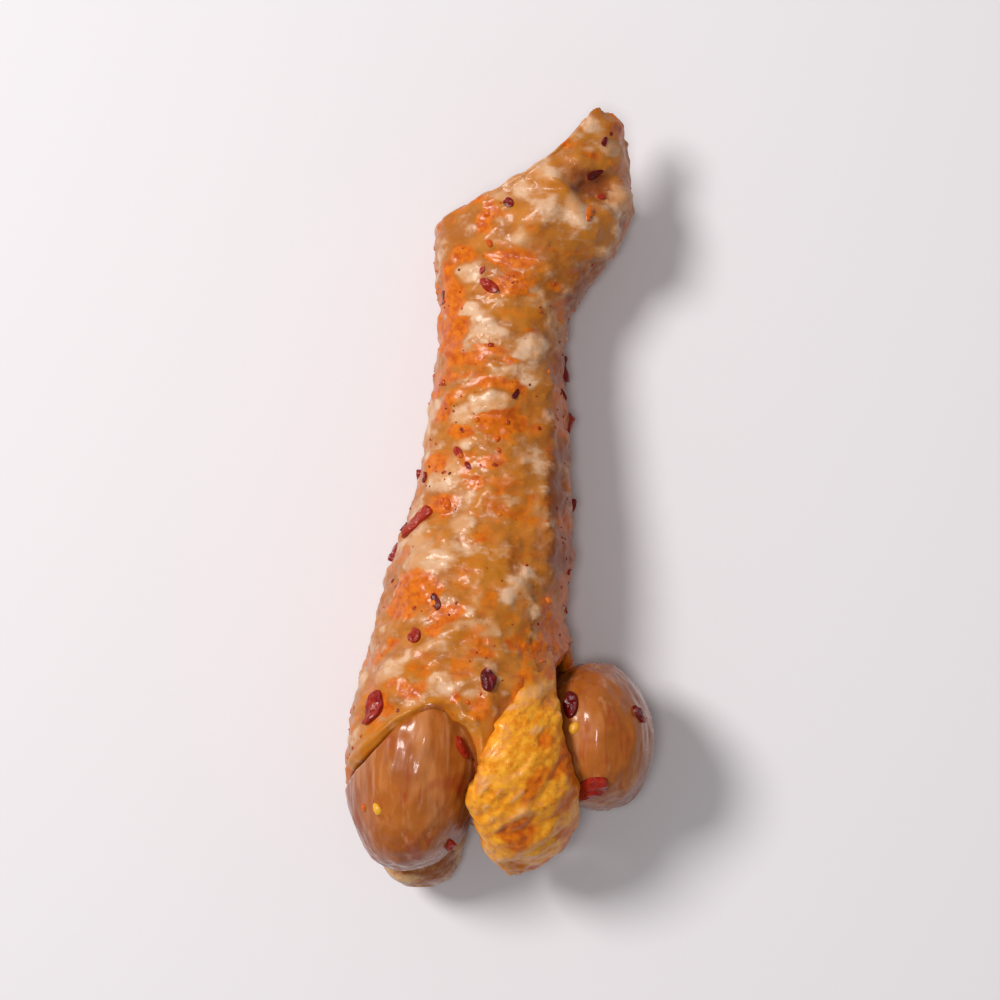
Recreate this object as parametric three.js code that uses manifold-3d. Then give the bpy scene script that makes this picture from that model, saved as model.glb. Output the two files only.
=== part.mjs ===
// One marinated chicken wing joint, the upper one (the drumette), lying on its flattened underside.
// Units are millimetres. +Y runs from the cut shoulder end to the elbow, +Z is up, and the origin is on
// the surface that the joint lies on, under the middle of the piece.
//
// Every surface is found the same way. A ray leaves the middle line of the joint, and the surface is
// where that ray crosses a smooth field made of the limb's sections and the muscles' ellipsoids. A ray
// is named by its angle round the limb and its station along it.

import * as THREE from 'three';
import Module from 'manifold-3d';

// Driving sizes

const SKIN_THICKNESS = 1.3;
const CLEARANCE = 0.35;
const MEAT_INSET = 0.5;
const MUSCLE_BULGE = 1.3;
const SKIN_DRAPE = 5;
const FLOOR_SOFTNESS = 1.2;
const ORIGIN_SHIFT = { x: -0.15, y: 0.1 };

const SKIN_COLUMNS = 52;
const SKIN_ROWS = 24;
const CORE_COLUMNS = 30;
const CORE_ROWS = 20;
const BONE_COLUMNS = 18;

// The limb under the skin, as elliptical sections from the shoulder end to the elbow end: station y,
// centre x and z, half width and half height.
const LIMB = [
  { y: -43.2, x: -1.0, z: 10.5, w: 0.6, h: 0.6 },
  { y: -42.2, x: -1.0, z: 10.6, w: 2.8, h: 2.6 },
  { y: -38.5, x: -1.2, z: 11.2, w: 8.0, h: 7.6 },
  { y: -32, x: -1.8, z: 11.3, w: 12.0, h: 12.2 },
  { y: -24, x: -3.4, z: 11.6, w: 12.0, h: 12.5 },
  { y: -15, x: -3.8, z: 10.8, w: 10.3, h: 10.8 },
  { y: -8, x: -2.4, z: 10.4, w: 9.7, h: 9.2 },
  { y: 0, x: -1.0, z: 9.8, w: 8.4, h: 8.0 },
  { y: 10, x: -0.4, z: 9.3, w: 7.2, h: 7.2 },
  { y: 22, x: 0.3, z: 8.6, w: 6.6, h: 6.8 },
  { y: 29, x: 2.2, z: 7.7, w: 9.1, h: 7.8 },
  { y: 34, x: 4.0, z: 7.5, w: 10.5, h: 8.4 },
  { y: 38, x: 5.2, z: 8.0, w: 9.6, h: 7.0 },
  { y: 42.3, x: 8.1, z: 9.4, w: 6.1, h: 5.0 },
  { y: 46, x: 9.7, z: 10.6, w: 4.0, h: 3.4 },
  { y: 50, x: 10.2, z: 11.4, w: 3.6, h: 2.6 },
];

// The muscles, as ellipsoids: centre, radii and the turn about Z in degrees. The left one lies half
// under the skin, the right one stands clear of it, and the middle one lies under the tongue.
const MUSCLES = {
  left: { x: -9.9, y: -31.4, z: 13.4, rx: 7.5, ry: 12.4, rz: 9.4, turn: -12 },
  right: { x: 11.5, y: -28.8, z: 12.0, rx: 6.0, ry: 7.8, rz: 9.0, turn: 5 },
  middle: { x: 2.0, y: -32.4, z: 11.2, rx: 7.0, ry: 9.0, rz: 10.0, turn: 0 },
};
const MUSCLE_COLUMNS = 22;
const MUSCLE_ROWS = 14;

// The rays' middle line stops at these stations, and fans out from the first towards the shoulder end.
const FAN_START = -24;
const FAN_LENGTH = 24;
const FAN_POLE = new THREE.Vector3(-0.3, -0.9, -0.34).normalize();

// The skin's cut edges, as guide points. A point with no z lies on the top of the skin.
const SHOULDER_EDGE = [
  { x: -10.2, y: -25.3 },
  { x: -7.9, y: -25.0 },
  { x: -5.2, y: -26.6 },
  { x: -3.2, y: -29.4 },
  { x: -2.4, y: -33.0 },
  { x: -1.0, y: -36.0 },
  { x: 1.4, y: -37.8 },
  { x: 4.2, y: -35.4 },
  { x: 5.4, y: -30.0 },
  { x: 5.4, y: -25.0 },
  { x: 6.8, y: -21.4 },
  { x: 9.4, y: -19.4, z: 16 },
  { x: 12.8, y: -19.0, z: 12 },
  { x: 16.6, y: -22.0, z: 8 },
  { x: 16.6, y: -29.0, z: 4 },
  { x: 13.0, y: -35.5, z: 1 },
  { x: 6.0, y: -38.5, z: 0 },
  { x: -3.0, y: -39.0, z: 0 },
  { x: -10.0, y: -40.0, z: 0 },
  { x: -16.2, y: -40.2, z: 4 },
  { x: -18.9, y: -38.0, z: 9 },
  { x: -18.7, y: -34.6, z: 14 },
  { x: -16.2, y: -30.2 },
  { x: -13.4, y: -27.0 },
];

// The tongue of skin and fat that runs down between the two muscles and hangs over the shoulder end: its
// middle line and half width. It starts inside the skin and swells out of it.
const TONGUE = [
  { x: 3.0, y: -11.0, half: 0.8 },
  { x: 4.3, y: -15.2, half: 2.0 },
  { x: 4.8, y: -19.6, half: 2.8 },
  { x: 4.5, y: -24.0, half: 3.0 },
  { x: 3.8, y: -28.0, half: 3.8 },
  { x: 3.2, y: -32.4, half: 4.7 },
  { x: 3.0, y: -37.4, half: 5.1 },
  { x: 2.8, y: -40.6, z: 17.0, half: 5.2 },
  { x: 2.2, y: -43.0, z: 13.5, half: 4.3 },
  { x: 1.7, y: -43.8, z: 10.5, half: 2.8 },
  { x: 1.5, y: -44.0, z: 8.6, half: 0.9 },
];
const TONGUE_THICKNESS = 2.9;
const TONGUE_ROWS = 20;
const TONGUE_COLUMNS = 9;
const ELBOW_EDGE = [
  { x: -2.6, y: 37.2 },
  { x: 4.6, y: 41.0 },
  { x: 8.2, y: 44.2 },
  { x: 10.4, y: 46.8 },
  { x: 12.6, y: 47.6, z: 13.4 },
  { x: 14.4, y: 46.0, z: 11.4 },
  { x: 15.2, y: 43.0, z: 9.0 },
  { x: 15.6, y: 38.6, z: 6.0 },
  { x: 11.0, y: 36.8, z: 1 },
  { x: 3.0, y: 36.0, z: 0 },
  { x: -4.5, y: 35.2, z: 2 },
  { x: -7.2, y: 34.6, z: 8 },
  { x: -6.0, y: 35.4, z: 12 },
];

// Folds and grooves in the skin: a straight run from a to b, its width, and its height (minus for a groove).
const FOLDS = [
  { a: [3.2, 22, 17], b: [2.6, 4, 18], width: 1.5, height: -1.0 },
  { a: [2.6, 4, 18], b: [3.6, -17, 23], width: 1.6, height: -1.2 },
  { a: [6.0, 18, 14], b: [5.6, -14, 18], width: 1.6, height: 0.7 },
  { a: [-12.0, -7.5, 17], b: [-4.0, -0.5, 19], width: 1.5, height: -1.0 },
  { a: [-11.0, -9.5, 18], b: [-5.0, -5.0, 20], width: 3.2, height: 0.9 },
  { a: [12.0, 44.0, 15], b: [2.0, 30.0, 16], width: 2.0, height: 0.9 },
  { a: [-7.0, 33.0, 12], b: [-6.0, 22.0, 13], width: 1.6, height: 0.6 },
  { a: [14.5, 40.2, 12], b: [7.5, 36.5, 16], width: 1.3, height: -0.6 },
  { a: [13.0, 35.0, 13], b: [9.5, 31.0, 14], width: 3.4, height: 1.1 },
  { a: [-17.0, -14.0, 15], b: [-5.5, -8.0, 22], width: 1.3, height: 0.6 },
  { a: [-14.0, -22.0, 20], b: [1.0, -11.5, 23], width: 1.4, height: 0.7 },
  { a: [1.2, -22.0, 24], b: [-0.6, -31.0, 24], width: 1.4, height: -1.1 },
];

// Knobs and hollows of the skin's upper side: place, radius and height.
const KNOBS = [
  { x: 14.2, y: 36.9, radius: 1.7, height: 0.8 },
  { x: 8.8, y: 33.4, radius: 1.7, height: 0.7 },
  { x: 12.8, y: 30.9, radius: 1.9, height: 0.6 },
  { x: 9.9, y: 37.4, radius: 1.7, height: -0.4 },
  { x: 12.6, y: 41.2, radius: 1.4, height: 0.5 },
  { x: 4.6, y: 34.4, radius: 2.6, height: 0.5 },
  { x: -8.4, y: -5.8, radius: 3.0, height: 0.6 },
  { x: -4.0, y: -0.6, radius: 2.2, height: -0.4 },
  { x: -1.8, y: -14.0, radius: 2.4, height: 0.4 },
  { x: -9.4, y: -11.8, radius: 3.0, height: 0.3 },
  { x: 5.6, y: 38.6, radius: 1.6, height: 0.5 },
  { x: -5.6, y: 31.6, radius: 2.0, height: 0.4 },
];
const THINNEST_SKIN = 0.5;

// The bone, from the head that shows at the shoulder end to the knuckle at the elbow: a centre, half
// width and half height at each station.
const BONE = [
  { x: -10.0, y: -47.4, z: 7.2, w: 1.6, h: 1.4 },
  { x: -9.9, y: -46.2, z: 7.3, w: 3.7, h: 3.3 },
  { x: -9.6, y: -43.2, z: 7.6, w: 5.0, h: 4.6 },
  { x: -8.6, y: -38.5, z: 8.2, w: 4.8, h: 4.5 },
  { x: -6.2, y: -31.0, z: 9.0, w: 3.4, h: 3.6 },
  { x: -3.2, y: -18.0, z: 9.8, w: 2.9, h: 3.1 },
  { x: -0.8, y: 0.0, z: 9.8, w: 2.7, h: 2.9 },
  { x: 0.6, y: 16.0, z: 9.2, w: 2.8, h: 2.8 },
  { x: 2.4, y: 25.0, z: 8.6, w: 4.0, h: 3.2 },
  { x: 4.1, y: 31.0, z: 8.2, w: 7.2, h: 4.8 },
  { x: 5.0, y: 35.4, z: 8.2, w: 7.6, h: 5.2 },
  { x: 5.4, y: 38.0, z: 8.2, w: 6.0, h: 4.2 },
  { x: 5.5, y: 39.2, z: 8.2, w: 3.0, h: 2.0 },
];
const MEAT_ELBOW_END = 34.6;

// The chilli flakes that lie on the top: place, length, width and turn about Z in degrees. A long list
// of small ones isn't needed: the flakes of the sides and the underside are spread by a rule.
const TOP_FLAKES = [
  { x: -10.3, y: -3.0, length: 5.6, width: 1.8, turn: -38 },
  { x: -15.3, y: -25.2, length: 4.4, width: 2.4, turn: -24 },
  { x: -1.6, y: -21.6, length: 2.6, width: 2.0, turn: 10 },
  { x: -10.2, y: -16.6, length: 1.9, width: 1.6, turn: 20 },
  { x: -1.4, y: 26.0, length: 2.7, width: 1.5, turn: 58 },
  { x: -4.8, y: -29.4, length: 3.2, width: 1.4, turn: 32, on: 'left' },
  { x: -6.4, y: -41.8, length: 2.4, width: 1.4, turn: 50, on: 'left' },
  { x: 8.6, y: -24.6, length: 3.6, width: 2.0, turn: 12, on: 'right' },
  { x: 11.0, y: -34.4, length: 4.2, width: 3.0, turn: -50, on: 'right' },
  { x: 16.2, y: -25.8, length: 2.2, width: 1.4, turn: 20, on: 'right' },
];
const SIDE_FLAKES = { count: 10, length: 2.6, width: 1.7 };
const FLAKE_HEIGHT = 0.6;

const UP = new THREE.Vector3(0, 0, 1);

// The limb's mean radius, and how much of an edge's run along the limb counts when columns are shared out.
const MEAN_RADIUS = 13;
const EDGE_RUN_SHARE = 0.45;

// Small tools

const clamp = (x, low, high) => Math.min(Math.max(x, low), high);
const smoothStep = (from, to, x) => {
  const t = clamp((x - from) / (to - from), 0, 1);
  return t * t * (3 - 2 * t);
};
const smoothMin = (a, b, reach) => {
  const h = Math.max(reach - Math.abs(a - b), 0) / reach;
  return Math.min(a, b) - (h * h * reach) / 4;
};
const smoothFloor = (z, floor) => -smoothMin(-z, -floor, FLOOR_SOFTNESS);

// Repeatable random numbers from 0 to 1.
function makeRandom(seed) {
  let state = seed;
  return () => {
    state = (state * 16807) % 2147483647;
    return state / 2147483647;
  };
}

// A table's values at a station, by a cubic through its rows.
function atStation(table, y, keys) {
  const last = table.length - 1;
  const yy = clamp(y, table[0].y, table[last].y);
  let i = 0;
  while (i < last - 1 && table[i + 1].y < yy) i += 1;
  const a = table[Math.max(i - 1, 0)];
  const b = table[i];
  const c = table[i + 1];
  const d = table[Math.min(i + 2, last)];
  const t = (yy - b.y) / (c.y - b.y);
  const found = {};
  for (const key of keys) {
    const slopeB = ((c[key] - a[key]) / (c.y - a.y)) * (c.y - b.y);
    const slopeC = ((d[key] - b[key]) / (d.y - b.y)) * (c.y - b.y);
    found[key] =
      (2 * t ** 3 - 3 * t ** 2 + 1) * b[key] +
      (t ** 3 - 2 * t ** 2 + t) * slopeB +
      (-2 * t ** 3 + 3 * t ** 2) * c[key] +
      (t ** 3 - t ** 2) * slopeC;
  }
  return found;
}

// Fields: below 0 inside and above 0 outside, about in millimetres

function limbField(p) {
  const s = atStation(LIMB, p.y, ['x', 'z', 'w', 'h']);
  const across = (p.x - s.x) / s.w;
  const up = (p.z - s.z) / s.h;
  const sides = (Math.hypot(across, up) - 1) * Math.min(s.w, s.h);
  return Math.max(sides, LIMB[0].y - p.y, p.y - LIMB[LIMB.length - 1].y);
}

// A point as seen from a muscle's own middle and turn, and back.
function toMuscle(p, e) {
  return new THREE.Vector3(p.x - e.x, p.y - e.y, p.z - e.z).applyAxisAngle(UP, -THREE.MathUtils.degToRad(e.turn));
}
function fromMuscle(local, e) {
  return local.clone().applyAxisAngle(UP, THREE.MathUtils.degToRad(e.turn)).add(new THREE.Vector3(e.x, e.y, e.z));
}

function muscleField(p, e) {
  const { x, y, z } = toMuscle(p, e);
  const [u, v, w] = [x / e.rx, y / e.ry, z / e.rz];
  const k0 = Math.hypot(u, v, w);
  const k1 = Math.hypot(u / e.rx, v / e.ry, w / e.rz);
  return k1 < 1e-9 ? -Math.min(e.rx, e.ry, e.rz) : (k0 * (k0 - 1)) / k1;
}

// What the skin is drawn over: the limb, the left muscle and the middle one.
function skinField(p) {
  const withLeft = smoothMin(limbField(p), muscleField(p, MUSCLES.left), SKIN_DRAPE);
  return smoothMin(withLeft, muscleField(p, MUSCLES.middle), SKIN_DRAPE);
}

function normalOf(field, p) {
  const step = 0.05;
  const along = (axis) => {
    const ahead = p.clone();
    const behind = p.clone();
    ahead[axis] += step;
    behind[axis] -= step;
    return field(ahead) - field(behind);
  };
  return new THREE.Vector3(along('x'), along('y'), along('z')).normalize();
}

// Rays: an angle from straight up towards +X, and a station along the limb

function rayAt(angle, station) {
  const y = Math.max(station, FAN_START);
  const s = atStation(LIMB, y, ['x', 'z']);
  const from = new THREE.Vector3(s.x, y, s.z);
  const out = new THREE.Vector3(Math.sin(angle), 0, Math.cos(angle));
  if (station < FAN_START) {
    const fan = (((FAN_START - station) / FAN_LENGTH) * Math.PI) / 2;
    out.multiplyScalar(Math.cos(fan)).addScaledVector(FAN_POLE, Math.sin(fan)).normalize();
  }
  return { from, out };
}

// The angle and station of the ray that goes through a point.
function rayThrough(p) {
  if (p.y >= FAN_START) {
    const s = atStation(LIMB, p.y, ['x', 'z']);
    return { angle: Math.atan2(p.x - s.x, p.z - s.z), station: p.y };
  }
  const s = atStation(LIMB, FAN_START, ['x', 'z']);
  const v = new THREE.Vector3(p.x - s.x, p.y - FAN_START, p.z - s.z);
  const towardsPole = v.y / FAN_POLE.y;
  const rest = v.addScaledVector(FAN_POLE, -towardsPole);
  const fan = Math.atan2(towardsPole, Math.hypot(rest.x, rest.z));
  return { angle: Math.atan2(rest.x, rest.z), station: FAN_START - (fan / (Math.PI / 2)) * FAN_LENGTH };
}

// Where a ray crosses the field's zero.
function cast(field, angle, station) {
  const { from, out } = rayAt(angle, station);
  const at = (distance) => from.clone().addScaledVector(out, distance);
  let inside = 0;
  let outside = 40;
  for (let step = 1; step <= 40; step += 1) {
    if (field(at(step)) > 0) {
      outside = step;
      break;
    }
    inside = step;
  }
  for (let i = 0; i < 18; i += 1) {
    const middle = (inside + outside) / 2;
    if (field(at(middle)) > 0) outside = middle;
    else inside = middle;
  }
  return at((inside + outside) / 2);
}

// The top of the skin over a place in plan.
function topOfSkin(x, y) {
  let inside = 8;
  let outside = 32;
  for (let i = 0; i < 20; i += 1) {
    const z = (inside + outside) / 2;
    if (skinField(new THREE.Vector3(x, y, z)) > SKIN_THICKNESS) outside = z;
    else inside = z;
  }
  return inside;
}

// A closed edge through guide points, as samples of angle and station. The angle grows all the way
// round, from the first guide point back to it.
function makeEdge(guides) {
  const curve = new THREE.CatmullRomCurve3(
    guides.map((g) => new THREE.Vector3(g.x, g.y, g.z ?? topOfSkin(g.x, g.y))),
    true,
    'centripetal',
  );
  const samples = curve.getSpacedPoints(360).map(rayThrough);
  samples[0].run = 0;
  for (let i = 1; i < samples.length; i += 1) {
    const least = samples[i - 1].angle + 1e-4;
    while (samples[i].angle < least - Math.PI) samples[i].angle += 2 * Math.PI;
    while (samples[i].angle > least + Math.PI) samples[i].angle -= 2 * Math.PI;
    samples[i].angle = Math.max(samples[i].angle, least);
    const round = (samples[i].angle - samples[i - 1].angle) * MEAN_RADIUS;
    const along = (samples[i].station - samples[i - 1].station) * EDGE_RUN_SHARE;
    samples[i].run = samples[i - 1].run + Math.hypot(round, along);
  }
  return samples;
}

function alongEdge(samples, share) {
  const place = share * samples[samples.length - 1].run;
  let i = 0;
  while (i < samples.length - 2 && samples[i + 1].run < place) i += 1;
  const t = (place - samples[i].run) / (samples[i + 1].run - samples[i].run);
  return {
    angle: samples[i].angle * (1 - t) + samples[i + 1].angle * t,
    station: samples[i].station * (1 - t) + samples[i + 1].station * t,
  };
}

// The station of an edge at an angle.
function stationAtAngle(samples, angle) {
  const first = samples[0].angle;
  const turned = first + (((angle - first) % (2 * Math.PI)) + 2 * Math.PI) % (2 * Math.PI);
  let low = 0;
  let high = samples.length - 1;
  while (high - low > 1) {
    const middle = (low + high) >> 1;
    if (samples[middle].angle > turned) high = middle;
    else low = middle;
  }
  const span = samples[high].angle - samples[low].angle;
  const t = span > 0 ? clamp((turned - samples[low].angle) / span, 0, 1) : 0;
  return samples[low].station * (1 - t) + samples[high].station * t;
}

const shoulderEdge = makeEdge(SHOULDER_EDGE);
const elbowEdge = makeEdge(ELBOW_EDGE);

// How far a place is past the skin's shoulder edge, in millimetres: plus where the meat is bare.
function pastSkin(angle, station) {
  let nearest = Infinity;
  for (const e of shoulderEdge) {
    let turn = (angle - e.angle) % (2 * Math.PI);
    if (turn > Math.PI) turn -= 2 * Math.PI;
    if (turn < -Math.PI) turn += 2 * Math.PI;
    nearest = Math.min(nearest, Math.hypot(turn * MEAN_RADIUS, station - e.station));
  }
  return station < stationAtAngle(shoulderEdge, angle) ? nearest : -nearest;
}

// Relief

function foldHeight(p) {
  let height = 0;
  for (const fold of FOLDS) {
    const a = new THREE.Vector3(...fold.a);
    const run = new THREE.Vector3(...fold.b).sub(a);
    const t = clamp(p.clone().sub(a).dot(run) / run.lengthSq(), 0, 1);
    const away = p.distanceTo(a.addScaledVector(run, t));
    const taper = smoothStep(0, 0.25, t) * smoothStep(1, 0.75, t);
    height += fold.height * taper * Math.exp(-((away / fold.width) ** 2));
  }
  return height;
}

function knobHeight(p) {
  let height = 0;
  for (const knob of KNOBS) {
    height += knob.height * Math.exp(-(((p.x - knob.x) ** 2 + (p.y - knob.y) ** 2) / knob.radius ** 2));
  }
  return height * smoothStep(8, 12, p.z);
}

// Soft lumps, by waves that cross at odd angles.
const lumps = (p) =>
  0.16 * Math.sin(0.55 * p.x + 0.9 * p.y + 1.3) * Math.sin(0.7 * p.z - 0.4 * p.y) +
  0.12 * Math.sin(1.3 * p.y - 0.8 * p.x) * Math.cos(1.1 * p.z + 0.6 * p.x);

// Surfaces

// A point of the skin: 0 is its inner face and 1 its outer face, and margin swells it both ways.
function skinPoint(angle, station, share, margin) {
  const base = cast(skinField, angle, station);
  const normal = normalOf(skinField, base);
  const relief = foldHeight(base) + knobHeight(base) + lumps(base);
  const thickness = -smoothMin(-(SKIN_THICKNESS + relief), -THINNEST_SKIN, THINNEST_SKIN);
  const outer = thickness + margin;
  const point = base.addScaledVector(normal, -margin + (outer + margin) * share);
  point.z = smoothFloor(point.z, (1 - share) * (SKIN_THICKNESS - margin) - share * margin);
  return point;
}

// How much of the muscles' swelling a place has: 0 under the skin and 1 where the meat is bare.
const bareness = (p) => {
  const ray = rayThrough(p);
  return smoothStep(0.1, 2.2, pastSkin(ray.angle, ray.station));
};

// The meat's core, which lies under the skin and shows between the muscles.
function corePoint(angle, station) {
  const base = cast(skinField, angle, station);
  const bare = bareness(base);
  const point = base.addScaledVector(normalOf(skinField, base), -MEAT_INSET - 2.4 * bare);
  point.z = smoothFloor(point.z, (1 - bare) * (SKIN_THICKNESS + CLEARANCE + 0.2));
  return point;
}

// A muscle's surface in a direction from its middle.
function musclePoint(direction, e) {
  const radii = new THREE.Vector3(e.rx, e.ry, e.rz);
  const bare = bareness(fromMuscle(direction.clone().multiply(radii), e));
  radii.addScalar(-MEAT_INSET + bare * (MEAT_INSET + MUSCLE_BULGE));
  const point = fromMuscle(direction.clone().multiply(radii), e);
  point.z = smoothFloor(point.z, (1 - bare) * (SKIN_THICKNESS + CLEARANCE + 0.2));
  return point;
}

// Triangles between rows of points that each go once round. Rows that wrap close on the first row, and
// otherwise each end is closed by a fan to its own middle.
function closeRows(rows, wrap) {
  const columns = rows[0].length;
  const points = rows.flat();
  const faces = [];
  const bands = wrap ? rows.length : rows.length - 1;
  for (let r = 0; r < bands; r += 1) {
    const next = (r + 1) % rows.length;
    for (let c = 0; c < columns; c += 1) {
      const d = (c + 1) % columns;
      const [p, q, u, v] = [r * columns + c, r * columns + d, next * columns + c, next * columns + d];
      faces.push([p, q, v], [p, v, u]);
    }
  }
  if (!wrap) {
    const ends = [
      { row: rows[0], start: 0, turned: true },
      { row: rows[rows.length - 1], start: (rows.length - 1) * columns, turned: false },
    ];
    for (const end of ends) {
      const middle = end.row.reduce((sum, p) => sum.add(p), new THREE.Vector3()).divideScalar(columns);
      points.push(middle);
      for (let c = 0; c < columns; c += 1) {
        const [p, q] = [end.start + c, end.start + ((c + 1) % columns)];
        faces.push(end.turned ? [points.length - 1, q, p] : [points.length - 1, p, q]);
      }
    }
  }
  return { points, faces };
}

const wasm = await Module();
wasm.setup();

// A solid from points and faces, with its faces turned to point out.
function toSolid({ points, faces }) {
  const vertProperties = new Float32Array(points.flatMap((p) => [p.x, p.y, p.z]));
  const make = (list) =>
    new wasm.Manifold(new wasm.Mesh({ numProp: 3, vertProperties, triVerts: new Uint32Array(list.flat()) }));
  const solid = make(faces);
  return solid.volume() > 0 ? solid : make(faces.map(([a, b, c]) => [a, c, b]));
}

// Columns lean towards the shoulder edge's own spacing only near that edge.
function skinLattice(column, along, margin) {
  const share = column / SKIN_COLUMNS;
  const edge = alongEdge(shoulderEdge, share);
  const even = shoulderEdge[0].angle + share * 2 * Math.PI;
  const lean = smoothStep(0.4, 1, along);
  const angle = even * (1 - lean) + edge.angle * lean;
  const start = stationAtAngle(elbowEdge, even) + margin;
  const end = edge.station - margin;
  return { angle, station: start + (end - start) * along };
}

function buildSkin(margin) {
  const rows = [];
  const rim = 0.5;
  const row = (along, share) => {
    const points = [];
    for (let column = 0; column < SKIN_COLUMNS; column += 1) {
      const { angle, station } = skinLattice(column, along, margin);
      points.push(skinPoint(angle, station, share, margin));
    }
    return points;
  };
  for (let r = 0; r <= SKIN_ROWS; r += 1) rows.push(row(r / SKIN_ROWS, 1));
  const tuck = rim / 90;
  rows[0] = row(tuck, 1);
  rows[SKIN_ROWS] = row(1 - tuck, 1);
  rows.push(row(1, 0.5));
  for (let r = SKIN_ROWS; r >= 0; r -= 1) rows.push(row(clamp(r / SKIN_ROWS, tuck, 1 - tuck), 0));
  rows.push(row(0, 0.5));
  return toSolid(closeRows(rows, true));
}

// A point of the tongue: across runs from -1 to 1 over its width, and share from its bed to its top.
function makeTongue() {
  const middle = new THREE.CatmullRomCurve3(
    TONGUE.map((g) => new THREE.Vector3(g.x, g.y, g.z ?? topOfSkin(g.x, g.y))),
    false,
    'centripetal',
  );
  const last = TONGUE.length - 1;
  return (along, across, share, margin) => {
    const ray = rayThrough(middle.getPoint(along));
    const place = Math.min(Math.floor(along * last), last - 1);
    const t = along * last - place;
    const half = TONGUE[place].half * (1 - t) + TONGUE[place + 1].half * t + margin;
    const angle = ray.angle + (across * half) / MEAN_RADIUS;
    const base = cast(skinField, angle, ray.station);
    const normal = normalOf(skinField, base);
    const swell = smoothStep(0.08, 0.5, along) * Math.sqrt(1 - 0.96 * across ** 4);
    const bumps = 0.45 * Math.sin(1.9 * base.y + 0.9 * base.x) * Math.sin(1.3 * base.x - 0.5 * base.y);
    const thickness = 0.9 + (TONGUE_THICKNESS - 0.9 + bumps) * swell;
    return base.addScaledVector(normal, -margin + (thickness + 2 * margin) * share);
  };
}
const tonguePoint = makeTongue();

function buildTongue(margin) {
  const rows = [];
  for (let r = 0; r <= TONGUE_ROWS; r += 1) {
    const along = r / TONGUE_ROWS;
    const points = [];
    for (let c = 0; c <= TONGUE_COLUMNS; c += 1) {
      points.push(tonguePoint(along, (2 * c) / TONGUE_COLUMNS - 1, 1, margin));
    }
    for (let c = TONGUE_COLUMNS; c >= 0; c -= 1) {
      points.push(tonguePoint(along, (2 * c) / TONGUE_COLUMNS - 1, 0, margin));
    }
    rows.push(points);
  }
  return toSolid(closeRows(rows, false));
}

function buildCore() {
  const rows = [];
  const end = FAN_START - FAN_LENGTH;
  for (let r = 0; r < CORE_ROWS; r += 1) {
    const share = r / CORE_ROWS;
    const station = MEAT_ELBOW_END + (end - MEAT_ELBOW_END) * share;
    const points = [];
    for (let c = 0; c < CORE_COLUMNS; c += 1) {
      points.push(corePoint((c / CORE_COLUMNS) * 2 * Math.PI, station));
    }
    rows.push(points);
  }
  return toSolid(closeRows(rows, false));
}

function buildMuscle(e) {
  const rows = [];
  for (let r = 0; r < MUSCLE_ROWS; r += 1) {
    const fall = ((r + 0.5) / MUSCLE_ROWS) * Math.PI;
    const points = [];
    for (let c = 0; c < MUSCLE_COLUMNS; c += 1) {
      const angle = (c / MUSCLE_COLUMNS) * 2 * Math.PI;
      const direction = new THREE.Vector3(
        Math.sin(fall) * Math.sin(angle),
        Math.cos(fall),
        Math.sin(fall) * Math.cos(angle),
      );
      points.push(musclePoint(direction, e));
    }
    rows.push(points);
  }
  return toSolid(closeRows(rows, false));
}

function buildBone(margin) {
  const rows = BONE.map((station, i) => {
    const grow = i === 0 || i === BONE.length - 1 ? margin * 2 : margin;
    const end = i === 0 ? -margin : i === BONE.length - 1 ? margin : 0;
    const points = [];
    for (let c = 0; c < BONE_COLUMNS; c += 1) {
      const angle = (c / BONE_COLUMNS) * 2 * Math.PI;
      points.push(
        new THREE.Vector3(
          station.x + (station.w + grow) * Math.sin(angle),
          station.y + end,
          station.z + (station.h + grow) * Math.cos(angle),
        ),
      );
    }
    return points;
  });
  return toSolid(closeRows(rows, false));
}

// The outer skin nearest to a point, and a bare muscle's surface nearest to one.
function skinNear(p) {
  const ray = rayThrough(p);
  return skinPoint(ray.angle, ray.station, 1, 0);
}
function muscleNear(p, e) {
  const local = toMuscle(p, e);
  const radii = new THREE.Vector3(e.rx, e.ry, e.rz).addScalar(MUSCLE_BULGE);
  return fromMuscle(local.divideScalar(local.clone().divide(radii).length()), e);
}

// The place straight above a point of the plan, or out from a point, and the normal there.
function placeAbove(x, y, near) {
  let point = new THREE.Vector3(x, y, 20);
  for (let i = 0; i < 16; i += 1) {
    const found = near(point);
    point = new THREE.Vector3(x, y, found.z);
  }
  return placeAt(point, near);
}
function placeAt(start, near) {
  const point = near(start);
  const step = (dx, dy, dz) => near(point.clone().add(new THREE.Vector3(dx, dy, dz))).sub(point);
  const outward = point.clone().sub(rayAt(0, Math.max(point.y, FAN_START)).from).normalize();
  const aside = new THREE.Vector3().crossVectors(outward, new THREE.Vector3(0, 1, 0)).normalize();
  const first = step(aside.x * 0.4, aside.y * 0.4, aside.z * 0.4);
  const normal = first.cross(step(0, 0.4, 0)).normalize();
  return { point, normal: normal.dot(outward) > 0 ? normal : normal.negate() };
}

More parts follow.
